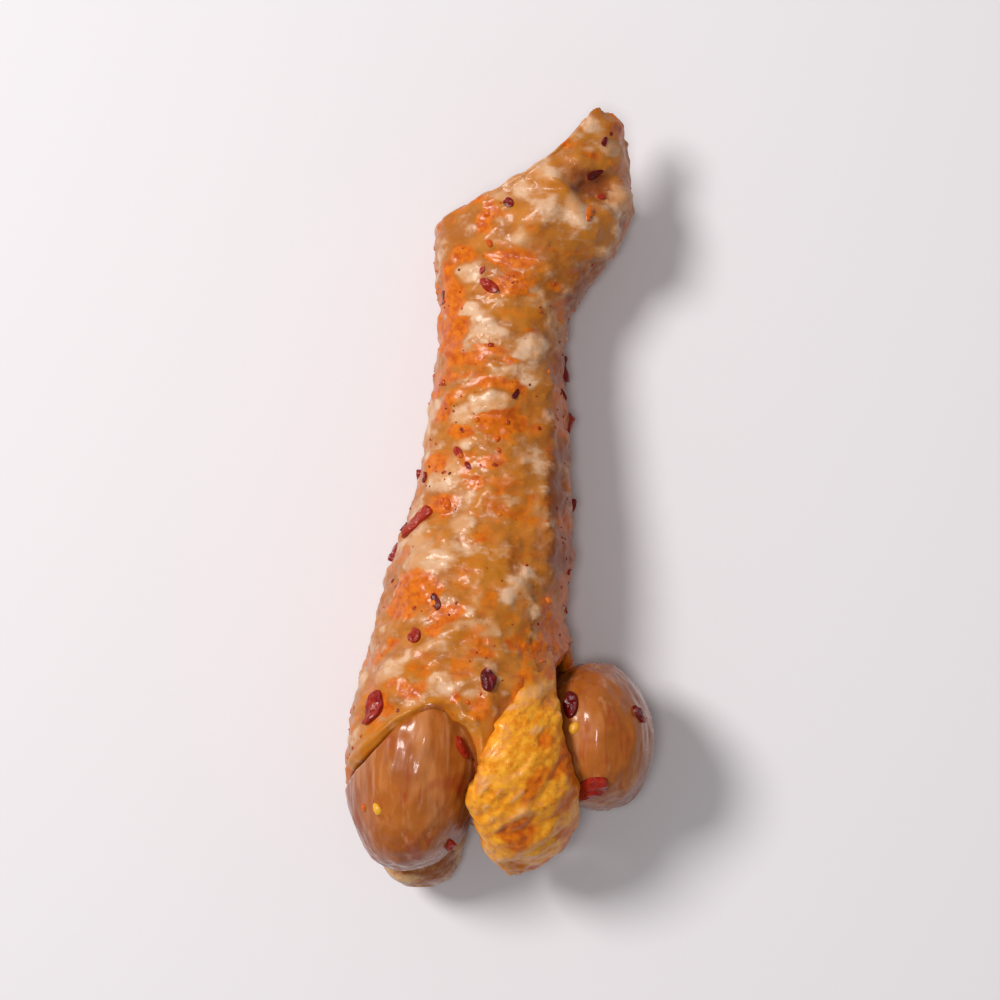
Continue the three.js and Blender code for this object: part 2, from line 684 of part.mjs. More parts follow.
// A chilli flake: a thin, uneven lens that hugs what it lies on, half sunk in it.
function buildFlake({ point, normal }, near, length, width, turn, random) {
  const sides = 8;
  const ahead = new THREE.Vector3(0, 1, 0).addScaledVector(normal, -normal.y).normalize();
  ahead.applyAxisAngle(normal, THREE.MathUtils.degToRad(turn));
  const aside = new THREE.Vector3().crossVectors(ahead, normal);
  const rim = [];
  const shoulder = [];
  for (let i = 0; i < sides; i += 1) {
    const angle = (i / sides) * 2 * Math.PI;
    const uneven = 0.8 + 0.35 * random();
    const out = ahead
      .clone()
      .multiplyScalar((length / 2) * Math.cos(angle) * uneven)
      .addScaledVector(aside, (width / 2) * Math.sin(angle) * uneven);
    rim.push(near(point.clone().add(out)).addScaledVector(normal, 0.06));
    shoulder.push(near(point.clone().addScaledVector(out, 0.62)).addScaledVector(normal, FLAKE_HEIGHT * 0.8));
  }
  const top = point.clone().addScaledVector(normal, FLAKE_HEIGHT);
  const bottom = point.clone().addScaledVector(normal, -FLAKE_HEIGHT * 0.7);
  const points = [...rim, ...shoulder, top, bottom];
  const faces = [];
  for (let i = 0; i < sides; i += 1) {
    const next = (i + 1) % sides;
    faces.push([i, next, sides + next], [i, sides + next, sides + i]);
    faces.push([sides + i, sides + next, 2 * sides], [next, i, 2 * sides + 1]);
  }
  return toSolid({ points, faces });
}

function addFlakes(skin, meat) {
  const random = makeRandom(7);
  let skinWith = skin;
  let meatWith = meat;
  for (const flake of TOP_FLAKES) {
    const near = flake.on ? (p) => muscleNear(p, MUSCLES[flake.on]) : skinNear;
    const place = placeAbove(flake.x, flake.y, near);
    const solid = buildFlake(place, near, flake.length, flake.width, flake.turn, random);
    if (flake.on) meatWith = meatWith.add(solid);
    else skinWith = skinWith.add(solid);
  }
  for (let i = 0; i < SIDE_FLAKES.count; i += 1) {
    const side = i % 2 ? 1 : -1;
    const angle = side * (1.65 + 0.6 * random());
    const station = -16 + ((i + random()) / SIDE_FLAKES.count) * 44;
    const size = 0.7 + 0.6 * random();
    const turn = 180 * random();
    const place = placeAt(skinPoint(angle, station, 1, 0), skinNear);
    if (place.point.z < 2.5) continue;
    const [length, width] = [SIDE_FLAKES.length * size, SIDE_FLAKES.width * size];
    skinWith = skinWith.add(buildFlake(place, skinNear, length, width, turn, random));
  }
  return { skinWith, meatWith };
}

// The largest body of a solid, without loose scraps.
const largest = (solid) =>
  solid.decompose().reduce((best, piece) => (piece.volume() > best.volume() ? piece : best));

function toMesh(solid, name, colour, roughness) {
  const { vertProperties, triVerts } = solid.getMesh();
  const geometry = new THREE.BufferGeometry();
  geometry.setAttribute('position', new THREE.BufferAttribute(new Float32Array(vertProperties), 3));
  geometry.setIndex(new THREE.BufferAttribute(new Uint32Array(triVerts), 1));
  geometry.computeVertexNormals();
  const material = new THREE.MeshStandardMaterial({ color: colour, roughness, metalness: 0 });
  const mesh = new THREE.Mesh(geometry, material);
  mesh.name = name;
  mesh.position.set(-ORIGIN_SHIFT.x, -ORIGIN_SHIFT.y, 0);
  return mesh;
}

function buildWing() {
  const bone = buildBone(0);
  const boneRoom = buildBone(CLEARANCE);
  const wholeMeat = buildCore().add(buildMuscle(MUSCLES.left)).add(buildMuscle(MUSCLES.right));
  const { skinWith, meatWith } = addFlakes(buildSkin(0).add(buildTongue(0)), wholeMeat);
  const skinRoom = buildSkin(CLEARANCE).add(buildTongue(CLEARANCE));
  const skin = largest(skinWith.subtract(boneRoom));
  const meat = largest(meatWith.subtract(skinRoom).subtract(boneRoom));
  const group = new THREE.Group();
  group.add(
    toMesh(skin, 'skin', 0xd9a067, 0.35),
    toMesh(meat, 'meat', 0xa8602e, 0.25),
    toMesh(bone, 'bone', 0xe6dcc0, 0.3),
  );
  return group;
}

export default buildWing();
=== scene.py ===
"""A marinated chicken wing joint, the drumette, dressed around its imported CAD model.

Sizes are in millimetres up to the mesh, which is in metres. Every surface is found the way the CAD
model finds it: rays leave the limb's middle line, and the surface is where they cross a smooth field.
The sections are the driving sizes, fields and rays, relief, meshes, each piece of the joint, the
toppings, the paints and the stage.
"""

import bpy
import numpy as np
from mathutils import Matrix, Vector


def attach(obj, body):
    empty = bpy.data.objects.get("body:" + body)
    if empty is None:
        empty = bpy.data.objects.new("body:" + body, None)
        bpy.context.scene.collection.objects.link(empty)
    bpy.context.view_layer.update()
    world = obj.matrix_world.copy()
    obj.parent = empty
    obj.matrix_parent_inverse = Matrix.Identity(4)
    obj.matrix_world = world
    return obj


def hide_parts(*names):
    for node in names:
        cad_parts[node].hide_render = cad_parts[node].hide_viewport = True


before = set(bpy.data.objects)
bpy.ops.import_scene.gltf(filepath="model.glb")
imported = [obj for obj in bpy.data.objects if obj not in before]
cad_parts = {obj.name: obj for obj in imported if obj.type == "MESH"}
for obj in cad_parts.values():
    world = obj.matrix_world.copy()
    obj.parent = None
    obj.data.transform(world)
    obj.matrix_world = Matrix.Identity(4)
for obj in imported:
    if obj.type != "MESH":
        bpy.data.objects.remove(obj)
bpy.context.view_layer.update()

# Driving sizes, as in the CAD model

SKIN_THICKNESS = 1.3
MEAT_INSET = 0.5
MUSCLE_BULGE = 1.3
SKIN_DRAPE = 5.0
FLOOR_SOFTNESS = 1.2
COVERED_FLOOR = SKIN_THICKNESS + 0.55
ORIGIN_SHIFT = np.array([-0.15, 0.1, 0.0])
MEAN_RADIUS = 13.0
EDGE_RUN_SHARE = 0.45
RAY_REACH = 40
MILLIMETRE = 0.001

# The limb under the skin: station y, centre x and z, half width and half height.
LIMB = np.array([
    (-43.2, -1.0, 10.5, 0.6, 0.6),
    (-42.2, -1.0, 10.6, 2.8, 2.6),
    (-38.5, -1.2, 11.2, 8.0, 7.6),
    (-32.0, -1.8, 11.3, 12.0, 12.2),
    (-24.0, -3.4, 11.6, 12.0, 12.5),
    (-15.0, -3.8, 10.8, 10.3, 10.8),
    (-8.0, -2.4, 10.4, 9.7, 9.2),
    (0.0, -1.0, 9.8, 8.4, 8.0),
    (10.0, -0.4, 9.3, 7.2, 7.2),
    (22.0, 0.3, 8.6, 6.6, 6.8),
    (29.0, 2.2, 7.7, 9.1, 7.8),
    (34.0, 4.0, 7.5, 10.5, 8.4),
    (38.0, 5.2, 8.0, 9.6, 7.0),
    (42.3, 8.1, 9.4, 6.1, 5.0),
    (46.0, 9.7, 10.6, 4.0, 3.4),
    (50.0, 10.2, 11.4, 3.6, 2.6),
])

# The muscles: centre, radii and the turn about Z in degrees.
LEFT_MUSCLE = {"centre": (-9.9, -31.4, 13.4), "radii": (7.5, 12.4, 9.4), "turn": -12}
RIGHT_MUSCLE = {"centre": (11.5, -28.8, 12.0), "radii": (6.0, 7.8, 9.0), "turn": 5}
MIDDLE_MUSCLE = {"centre": (2.0, -32.4, 11.2), "radii": (7.0, 9.0, 10.0), "turn": 0}

# The rays fan out from this station towards the shoulder end.
FAN_START = -24.0
FAN_LENGTH = 24.0
FAN_POLE = np.array([-0.3, -0.9, -0.34]) / np.linalg.norm([-0.3, -0.9, -0.34])

# The skin's cut edges. A point with no z lies on the top of the skin.
SHOULDER_EDGE = [
    (-10.2, -25.3), (-7.9, -25.0), (-5.2, -26.6), (-3.2, -29.4), (-2.4, -33.0), (-1.0, -36.0),
    (1.4, -37.8), (4.2, -35.4), (5.4, -30.0), (5.4, -25.0), (6.8, -21.4), (9.4, -19.4, 16),
    (12.8, -19.0, 12), (16.6, -22.0, 8), (16.6, -29.0, 4), (13.0, -35.5, 1), (6.0, -38.5, 0),
    (-3.0, -39.0, 0), (-10.0, -40.0, 0), (-16.2, -40.2, 4), (-18.9, -38.0, 9), (-18.7, -34.6, 14),
    (-16.2, -30.2), (-13.4, -27.0),
]
ELBOW_EDGE = [
    (-2.6, 37.2), (4.6, 41.0), (8.2, 44.2), (10.4, 46.8), (12.6, 47.6, 13.4), (14.4, 46.0, 11.4),
    (15.2, 43.0, 9.0), (15.6, 38.6, 6.0), (11.0, 36.8, 1), (3.0, 36.0, 0), (-4.5, 35.2, 2),
    (-7.2, 34.6, 8), (-6.0, 35.4, 12),
]

# The tongue's middle line and half widths.
TONGUE_LINE = [
    (3.0, -11.0), (4.3, -15.2), (4.8, -19.6), (4.5, -24.0), (3.8, -28.0), (3.2, -32.4),
    (3.0, -37.4), (2.8, -40.6, 17.0), (2.2, -43.0, 13.5), (1.7, -43.8, 10.5), (1.5, -44.0, 8.6),
]
TONGUE_HALVES = np.array([0.8, 2.0, 2.8, 3.0, 3.8, 4.7, 5.1, 5.2, 4.3, 2.8, 0.9])
TONGUE_THICKNESS = 2.9

# Folds and grooves of the skin: from a to b, width, height.
FOLDS = [
    ((3.2, 22, 17), (2.6, 4, 18), 1.5, -1.0),
    ((2.6, 4, 18), (3.6, -17, 23), 1.6, -1.2),
    ((6.0, 18, 14), (5.6, -14, 18), 1.6, 0.7),
    ((-12.0, -7.5, 17), (-4.0, -0.5, 19), 1.5, -1.0),
    ((-11.0, -9.5, 18), (-5.0, -5.0, 20), 3.2, 0.9),
    ((12.0, 44.0, 15), (2.0, 30.0, 16), 2.0, 0.9),
    ((-7.0, 33.0, 12), (-6.0, 22.0, 13), 1.6, 0.6),
    ((14.5, 40.2, 12), (7.5, 36.5, 16), 1.3, -0.6),
    ((13.0, 35.0, 13), (9.5, 31.0, 14), 3.4, 1.1),
    ((-17.0, -14.0, 15), (-5.5, -8.0, 22), 1.3, 0.6),
    ((-14.0, -22.0, 20), (1.0, -11.5, 23), 1.4, 0.7),
    ((1.2, -22.0, 24), (-0.6, -31.0, 24), 1.4, -1.1),
]

# Knobs and hollows of the skin's upper side: plan x and y, radius and height.
KNOBS = [
    (14.2, 36.9, 1.7, 0.8), (8.8, 33.4, 1.7, 0.7), (12.8, 30.9, 1.9, 0.6), (9.9, 37.4, 1.7, -0.4),
    (12.6, 41.2, 1.4, 0.5), (4.6, 34.4, 2.6, 0.5), (-8.4, -5.8, 3.0, 0.6), (-4.0, -0.6, 2.2, -0.4),
    (-1.8, -14.0, 2.4, 0.4), (-9.4, -11.8, 3.0, 0.3), (5.6, 38.6, 1.6, 0.5), (-5.6, 31.6, 2.0, 0.4),
]
THINNEST_SKIN = 0.5

# The bone: station y, centre x and z, half width and half height.
BONE = np.array([
    (-47.4, -10.0, 7.2, 1.6, 1.4),
    (-46.2, -9.9, 7.3, 3.7, 3.3),
    (-43.2, -9.6, 7.6, 5.0, 4.6),
    (-38.5, -8.6, 8.2, 4.8, 4.5),
    (-31.0, -6.2, 9.0, 3.4, 3.6),
    (-18.0, -3.2, 9.8, 2.9, 3.1),
    (0.0, -0.8, 9.8, 2.7, 2.9),
    (16.0, 0.6, 9.2, 2.8, 2.8),
    (25.0, 2.4, 8.6, 4.0, 3.2),
    (31.0, 4.1, 8.2, 7.2, 4.8),
    (35.4, 5.0, 8.2, 7.6, 5.2),
    (38.0, 5.4, 8.2, 6.0, 4.2),
    (39.2, 5.5, 8.2, 3.0, 2.0),
])
MEAT_ELBOW_END = 34.6


# Small tools


def smooth_step(low, high, x):
    t = np.clip((x - low) / (high - low), 0, 1)
    return t * t * (3 - 2 * t)


def smooth_min(a, b, reach):
    """The lower of two fields, rounded off where they come within reach of each other."""
    h = np.maximum(reach - np.abs(a - b), 0) / reach
    return np.minimum(a, b) - h * h * reach / 4


def smooth_floor(z, floor):
    """Heights that go no lower than a floor, and meet it in a soft curve."""
    return -smooth_min(-z, -floor, FLOOR_SOFTNESS)


def unit(v):
    return v / np.maximum(np.linalg.norm(v, axis=-1, keepdims=True), 1e-12)


def lottery(cell, seed):
    """A random number from -1 to 1 for each whole-numbered cell, by mixing its coordinates' bits."""
    mixed = cell[..., 0] * 73856093 ^ cell[..., 1] * 19349663 ^ cell[..., 2] * 83492791 ^ seed * 26544357
    mixed = (mixed ^ (mixed >> 13)) * 1274126177 & 0x7FFFFFFF
    mixed = (mixed ^ (mixed >> 15)) * 2246822519 & 0x7FFFFFFF
    return mixed / 0x3FFFFFFF - 1


def noise(p, size, seed):
    """Value noise from -1 to 1: a random number at each corner of cubes of that size, blended smoothly.

    The seed picks the pattern, and each use has a seed of its own.
    """
    q = p / size
    cell = np.floor(q).astype(np.int64)
    t = q - cell
    t = t * t * (3 - 2 * t)
    total = np.zeros(p.shape[:-1])
    for corner in np.ndindex(2, 2, 2):
        weight = np.prod(np.where(corner, t, 1 - t), axis=-1)
        total += lottery(cell + corner, seed) * weight
    return total


def layered(p, size, seed, layers=3):
    """Noise at a size, with half as much again at half the size, and so on."""
    return sum(noise(p, size / 2**i, seed + i) / 2**i for i in range(layers))


def ridged(p, size, seed):
    """Noise turned into thin ridges, 1 on a ridge and falling to 0 away from it."""
    return (1 - np.abs(noise(p, size, seed))) ** 4


# Fields: below 0 inside and above 0 outside, about in millimetres


def limb_at(y):
    """The limb's centre x and z, half width and half height at stations y, by a cubic through the table."""
    last = len(LIMB) - 1
    y = np.clip(y, LIMB[0, 0], LIMB[last, 0])
    b = np.minimum(np.searchsorted(LIMB[1:, 0], y), last - 1)
    rows = [LIMB[np.clip(b + k, 0, last)] for k in (-1, 0, 1, 2)]
    t = (y - rows[1][..., 0]) / (rows[2][..., 0] - rows[1][..., 0])
    span = (rows[2][..., 0] - rows[1][..., 0])[..., None]
    slope_b = (rows[2] - rows[0]) / (rows[2][..., :1] - rows[0][..., :1]) * span
    slope_c = (rows[3] - rows[1]) / (rows[3][..., :1] - rows[1][..., :1]) * span
    t = t[..., None]
    found = (
        (2 * t**3 - 3 * t**2 + 1) * rows[1]
        + (t**3 - 2 * t**2 + t) * slope_b
        + (3 * t**2 - 2 * t**3) * rows[2]
        + (t**3 - t**2) * slope_c
    )
    return found[..., 1], found[..., 2], found[..., 3], found[..., 4]


def limb_field(p):
    x, z, w, h = limb_at(p[..., 1])
    sides = (np.hypot((p[..., 0] - x) / w, (p[..., 2] - z) / h) - 1) * np.minimum(w, h)
    return np.maximum(np.maximum(sides, LIMB[0, 0] - p[..., 1]), p[..., 1] - LIMB[-1, 0])


def turned(v, degrees):
    """Vectors turned about Z."""
    c, s = np.cos(np.radians(degrees)), np.sin(np.radians(degrees))
    return np.stack([c * v[..., 0] - s * v[..., 1], s * v[..., 0] + c * v[..., 1], v[..., 2]], axis=-1)


def to_muscle(p, muscle):
    return turned(p - muscle["centre"], -muscle["turn"])


def from_muscle(local, muscle):
    return turned(local, muscle["turn"]) + muscle["centre"]


def muscle_field(p, muscle):
    local = to_muscle(p, muscle) / muscle["radii"]
    k0 = np.linalg.norm(local, axis=-1)
    k1 = np.linalg.norm(local / muscle["radii"], axis=-1)
    return k0 * (k0 - 1) / np.maximum(k1, 1e-9)


def skin_field(p):
    """What the skin is drawn over: the limb, the left muscle and the middle one."""
    with_left = smooth_min(limb_field(p), muscle_field(p, LEFT_MUSCLE), SKIN_DRAPE)
    return smooth_min(with_left, muscle_field(p, MIDDLE_MUSCLE), SKIN_DRAPE)


def normal_of(field, p):
    """The field's slope, by differences along each axis."""
    step = 0.05 * np.eye(3)
    return unit(np.stack([field(p + s) - field(p - s) for s in step], axis=-1))


# Rays: an angle from straight up towards +X, and a station along the limb


def rays_at(angle, station):
    """Where rays start, and which way they go.

    They go straight across the limb, and past the fan's start they tilt towards its pole.
    """
    y = np.maximum(station, FAN_START)
    x, z, _, _ = limb_at(y)
    start = np.stack([x, y, z], axis=-1)
    across = np.stack([np.sin(angle), np.zeros_like(angle), np.cos(angle)], axis=-1)
    fan = np.maximum(FAN_START - station, 0)[..., None] / FAN_LENGTH * np.pi / 2
    return start, unit(across * np.cos(fan) + FAN_POLE * np.sin(fan))


def ray_through(p):
    """The angle and station of the ray through each point."""
    x, z, _, _ = limb_at(np.maximum(p[..., 1], FAN_START))
    dx, dz = p[..., 0] - x, p[..., 2] - z
    to_pole = np.minimum(p[..., 1] - FAN_START, 0) / FAN_POLE[1]
    dx, dz = dx - to_pole * FAN_POLE[0], dz - to_pole * FAN_POLE[2]
    fan = np.arctan2(to_pole, np.hypot(dx, dz)) / (np.pi / 2) * FAN_LENGTH
    station = np.where(p[..., 1] >= FAN_START, p[..., 1], FAN_START - fan)
    return np.arctan2(dx, dz), station


def cast(field, angle, station):
    """Where each ray first leaves the field, by steps of a millimetre and then by halving."""
    angle, station = np.broadcast_arrays(np.asarray(angle, float), np.asarray(station, float))
    start, out = rays_at(angle, station)
    inside = np.zeros(angle.shape)
    found = np.zeros(angle.shape, bool)
    for step in np.arange(1.0, RAY_REACH + 1):
        found |= field(start + out * step) > 0
        if found.all():
            break
        inside = np.where(found, inside, step)
    outside = inside + 1
    for _ in range(14):
        middle = (inside + outside) / 2
        beyond = field(start + out * middle[..., None]) > 0
        outside = np.where(beyond, middle, outside)
        inside = np.where(beyond, inside, middle)
    return start + out * inside[..., None]


def top_of_skin(x, y):
    """The height of the skin over a place in plan, by halving."""
    low, high = 8.0, 32.0
    for _ in range(20):
        z = (low + high) / 2
        outside = skin_field(np.array([x, y, z], float)) > SKIN_THICKNESS
        low, high = (low, z) if outside else (z, high)
    return low


def placed(guides):
    """Guide points with their missing heights filled in."""
    return np.array([g if len(g) == 3 else (*g, top_of_skin(*g)) for g in guides], float)


def spline(points, t, closed):
    """A centripetal Catmull-Rom curve through points, at t from 0 to 1."""
    count = len(points)
    spans = count if closed else count - 1
    place = np.clip(t * spans, 0, spans - 1e-9)
    i = np.floor(place).astype(int)
    w = (place - i)[:, None]
    if closed:
        p = [points[(i + k) % count] for k in (-1, 0, 1, 2)]
    else:
        padded = np.vstack([2 * points[0] - points[1], points, 2 * points[-1] - points[-2]])
        p = [padded[i + k] for k in (0, 1, 2, 3)]
    d = [np.maximum(np.linalg.norm(p[k + 1] - p[k], axis=1, keepdims=True), 1e-6) ** 0.5 for k in range(3)]
    m1 = ((p[1] - p[0]) / d[0] - (p[2] - p[0]) / (d[0] + d[1]) + (p[2] - p[1]) / d[1]) * d[1]
    m2 = ((p[2] - p[1]) / d[1] - (p[3] - p[1]) / (d[1] + d[2]) + (p[3] - p[2]) / d[2]) * d[1]
    return (
        (2 * w**3 - 3 * w**2 + 1) * p[1]
        + (w**3 - 2 * w**2 + w) * m1
        + (3 * w**2 - 2 * w**3) * p[2]
        + (w**3 - w**2) * m2
    )


def make_edge(guides):
    """A closed skin edge as angle, station and run. The angle grows all the way round."""
    dense = spline(placed(guides), np.linspace(0, 1, 2001), True)
    length = np.concatenate([[0], np.cumsum(np.linalg.norm(np.diff(dense, axis=0), axis=1))])
    even = np.linspace(0, length[-1], 721)
    points = np.stack([np.interp(even, length, dense[:, k]) for k in range(3)], axis=1)
    angle, station = ray_through(points)
    angle = np.unwrap(angle)
    angle = np.maximum.accumulate(angle) + 1e-5 * np.arange(len(angle))
    steps = np.hypot(np.diff(angle) * MEAN_RADIUS, np.diff(station) * EDGE_RUN_SHARE)
    return {"angle": angle, "station": station, "run": np.concatenate([[0], np.cumsum(steps)])}


SHOULDER = make_edge(SHOULDER_EDGE)
ELBOW = make_edge(ELBOW_EDGE)


def station_at_angle(edge, angle):
    first = edge["angle"][0]
    return np.interp(first + (angle - first) % (2 * np.pi), edge["angle"], edge["station"])


def along_edge(edge, share):
    run = share * edge["run"][-1]
    return np.interp(run, edge["run"], edge["angle"]), np.interp(run, edge["run"], edge["station"])


def past_skin(p):
    """How far a place is past the skin's shoulder edge: plus where the meat is bare."""
    angle, station = ray_through(p)
    flat_angle, flat_station = angle.ravel(), station.ravel()
    nearest = np.full(flat_angle.shape, np.inf)
    for a, s in zip(SHOULDER["angle"][::3], SHOULDER["station"][::3]):
        turn = (flat_angle - a + np.pi) % (2 * np.pi) - np.pi
        nearest = np.minimum(nearest, np.hypot(turn * MEAN_RADIUS, flat_station - s))
    nearest = nearest.reshape(angle.shape)
    return np.where(station < station_at_angle(SHOULDER, angle), nearest, -nearest)


def bareness(p):
    """0 under the skin and 1 where the meat is bare."""
    return smooth_step(-0.6, 0.9, past_skin(p))


def upper_side(p):
    """0 on the lower half of the joint and 1 on the upper half."""
    return smooth_step(8.0, 12.0, p[..., 2])


# Relief shared with the CAD model


def fold_height(p, folds=FOLDS):
    """Each fold is a bell across its line, tapered at both ends."""
    height = np.zeros(p.shape[:-1])
    for a, b, width, size in folds:
        run = np.subtract(b, a)
        t = np.clip(((p - a) @ run) / (run @ run), 0, 1)
        away = np.linalg.norm(p - (a + t[..., None] * run), axis=-1)
        taper = smooth_step(0, 0.25, t) * smooth_step(1, 0.75, t)
        height += size * taper * np.exp(-((away / width) ** 2))
    return height


def knob_height(p, knobs=KNOBS):
    """Bells in plan, on the upper side alone."""
    height = np.zeros(p.shape[:-1])
    for x, y, radius, size in knobs:
        height += size * np.exp(-(((p[..., 0] - x) ** 2 + (p[..., 1] - y) ** 2) / radius**2))
    return height * upper_side(p)


def lumps(p):
    """Broad, low unevenness: two products of sine waves."""
    x, y, z = p[..., 0], p[..., 1], p[..., 2]
    first = 0.16 * np.sin(0.55 * x + 0.9 * y + 1.3) * np.sin(0.7 * z - 0.4 * y)
    return first + 0.12 * np.sin(1.3 * y - 0.8 * x) * np.cos(1.1 * z + 0.6 * x)


# Fine relief, for the looks alone

FINE_FOLDS = [
    ((-16.0, -19.0, 16), (-5.0, -12.5, 22), 0.8, 0.4),
    ((-15.5, -23.0, 18), (-2.0, -15.0, 23), 0.8, 0.45),
    ((-11.0, -24.0, 22), (0.5, -17.5, 24), 0.8, 0.4),
    ((-1.8, -20.0, 24), (-2.1, -31.0, 23), 0.7, 0.45),
    ((2.6, -15.0, 23), (1.3, -28.0, 23), 0.8, 0.5),
    ((0.4, -12.0, 23), (-0.6, -22.0, 24), 0.7, -0.4),
    ((-8.0, 19.5, 13), (3.0, 17.0, 17), 0.9, 0.35),
    ((-8.0, 12.0, 13), (2.0, 10.6, 18), 0.8, 0.35),
    ((-8.6, 5.6, 13), (3.0, 4.4, 19), 0.9, -0.35),
    ((-5.0, 30.5, 15), (5.0, 27.0, 16), 0.9, 0.35),
    ((1.0, 37.0, 15), (7.0, 31.0, 16), 0.8, -0.4),
    ((5.0, 40.0, 15), (11.0, 34.0, 15), 0.8, 0.4),
    ((9.0, 43.5, 14), (13.5, 38.5, 14), 0.7, -0.4),
    ((7.2, 26.0, 12), (6.6, 4.0, 14), 0.7, -0.5),
    ((7.4, 2.0, 14), (8.0, -16.0, 16), 0.8, -0.5),
    ((3.0, 39.6, 14), (11.0, 45.4, 13), 0.9, 0.5),
]
FINE_KNOBS = [
    (13.0, 36.6, 1.5, 0.8), (8.2, 35.1, 1.0, 0.6), (12.2, 42.8, 1.0, 0.4), (6.2, 38.0, 1.4, 0.4),
    (11.6, 38.6, 0.8, -0.5), (9.6, 38.6, 1.5, -0.5), (3.0, 34.0, 1.4, 0.35), (10.6, 31.2, 1.4, 0.4),
    (-6.0, 34.0, 1.2, 0.3), (-4.2, -3.2, 1.4, 0.35), (-8.2, -8.1, 1.8, 0.3), (-2.3, -15.7, 1.3, 0.3),
    (-7.0, -22.0, 1.4, 0.3), (-1.4, 11.7, 1.3, 0.25), (-5.4, 3.2, 1.2, 0.25), (3.4, 18.6, 1.2, 0.25),
    (1.6, -10.8, 1.2, 0.3), (-12.4, -21.1, 1.2, 0.3), (-1.6, 20.2, 1.1, 0.25), (-9.2, -11.4, 1.6, 0.25),
]


def puckers(p):
    """Soft blisters of wet skin, two to three millimetres apart, with finer ones between them."""
    return 0.2 * layered(p, 2.5, 11, 2) + 0.13 * layered(p * np.array([0.8, 1.2, 0.8]), 1.2, 13, 2)


def skin_grain(p):
    """Fine relief of raw skin: folds, puckers, creases across the limb, and follicles."""
    stretched = p * np.array([0.5, 1.3, 0.5])
    creases = -0.15 * ridged(stretched, 2.9, 31) * smooth_step(-0.4, 0.4, noise(p, 9.0, 35))
    shapes = 0.7 * fold_height(p, FINE_FOLDS) + knob_height(p, FINE_KNOBS)
    return puckers(p) + creases + shapes + 0.24 * follicles(p, 1.9)


def follicles(p, size=2.2):
    """Small bumps, one in each cell of a loose grid, at a random place in the cell."""
    cell = np.floor(p / size).astype(np.int64)
    nearest = np.full(p.shape[:-1], np.inf)
    for corner in np.ndindex(3, 3, 3):
        at = cell + corner - 1
        centre = np.stack([at[..., k] + 0.5 + 0.36 * lottery(at, 51 + k) for k in range(3)], axis=-1)
        nearest = np.minimum(nearest, ((p / size - centre) ** 2).sum(-1))
    return np.exp(-nearest / 0.26**2)


# Meshes


def lattice_faces(rows, columns, wrap):
    """Quads between rows that each close on themselves."""
    r = np.arange(rows if wrap else rows - 1)[:, None]
    c = np.arange(columns)[None, :]
    after, beside = (r + 1) % rows, (c + 1) % columns
    quads = np.stack(
        [r * columns + c, r * columns + beside, after * columns + beside, after * columns + c], axis=-1
    )
    return quads.reshape(-1, 4)


def signed_volume(points, faces):
    a, b, c = points[faces[:, 0]], points[faces[:, 1]], points[faces[:, 2]]
    return np.einsum("ij,ij->i", a, np.cross(b, c)).sum()


def build_mesh(name, points, quads, triangles, attributes, smooth=True):
    """A mesh from whole arrays, turned so that its faces point out."""
    points = (points - ORIGIN_SHIFT) * MILLIMETRE
    quads = np.asarray(quads, np.int64).reshape(-1, 4)
    triangles = np.asarray(triangles, np.int64).reshape(-1, 3)
    every = np.vstack([quads[:, [0, 1, 2]], quads[:, [0, 2, 3]], triangles])
    if signed_volume(points, every) < 0:
        quads, triangles = quads[:, ::-1], triangles[:, ::-1]
    mesh = bpy.data.meshes.new(name)
    mesh.vertices.add(len(points))
    mesh.vertices.foreach_set("co", points.astype(np.float32).ravel())
    loops = np.concatenate([quads.ravel(), triangles.ravel()]).astype(np.int32)
    mesh.loops.add(len(loops))
    mesh.loops.foreach_set("vertex_index", loops)
    sizes = np.concatenate([np.full(len(quads), 4), np.full(len(triangles), 3)])
    mesh.polygons.add(len(sizes))
    starts = np.concatenate([[0], np.cumsum(sizes)[:-1]]).astype(np.int32)
    mesh.polygons.foreach_set("loop_start", starts)
    mesh.polygons.foreach_set("use_smooth", np.full(len(sizes), smooth))
    mesh.update(calc_edges=True)
    mesh.validate()
    for key, values in attributes.items():
        layer = mesh.attributes.new(key, "FLOAT", "POINT")
        layer.data.foreach_set("value", np.asarray(values, np.float32).ravel())
    piece = bpy.data.objects.new(name, mesh)
    bpy.context.scene.collection.objects.link(piece)
    return piece


def closed_lattice(name, points, wrap, attributes):
    """A piece from rows of points. Rows that don't wrap are closed by a fan at each end."""
    rows, columns = points.shape[:2]
    flat = points.reshape(-1, 3)
    quads = lattice_faces(rows, columns, wrap)
    triangles = np.zeros((0, 3), int)
    values = {key: np.asarray(value).ravel() for key, value in attributes.items()}
    if not wrap:
        c = np.arange(columns)
        beside = (c + 1) % columns
        last = (rows - 1) * columns
        first_fan = np.stack([np.full(columns, len(flat)), beside, c], axis=1)
        last_fan = np.stack([np.full(columns, len(flat) + 1), last + c, last + beside], axis=1)
        triangles = np.vstack([first_fan, last_fan])
        flat = np.vstack([flat, points[0].mean(0), points[-1].mean(0)])
        values = {
            key: np.concatenate([value, [value[:columns].mean(), value[-columns:].mean()]])
            for key, value in values.items()
        }
    return build_mesh(name, flat, quads, triangles, values)


# The skin sleeve

SKIN_COLUMNS = 320
SKIN_ROWS = 272
INNER_ROWS = 12
RIM_TUCK = 0.0035
SLEEVE_LENGTH = 85
SLEEVE_RADIUS = 14


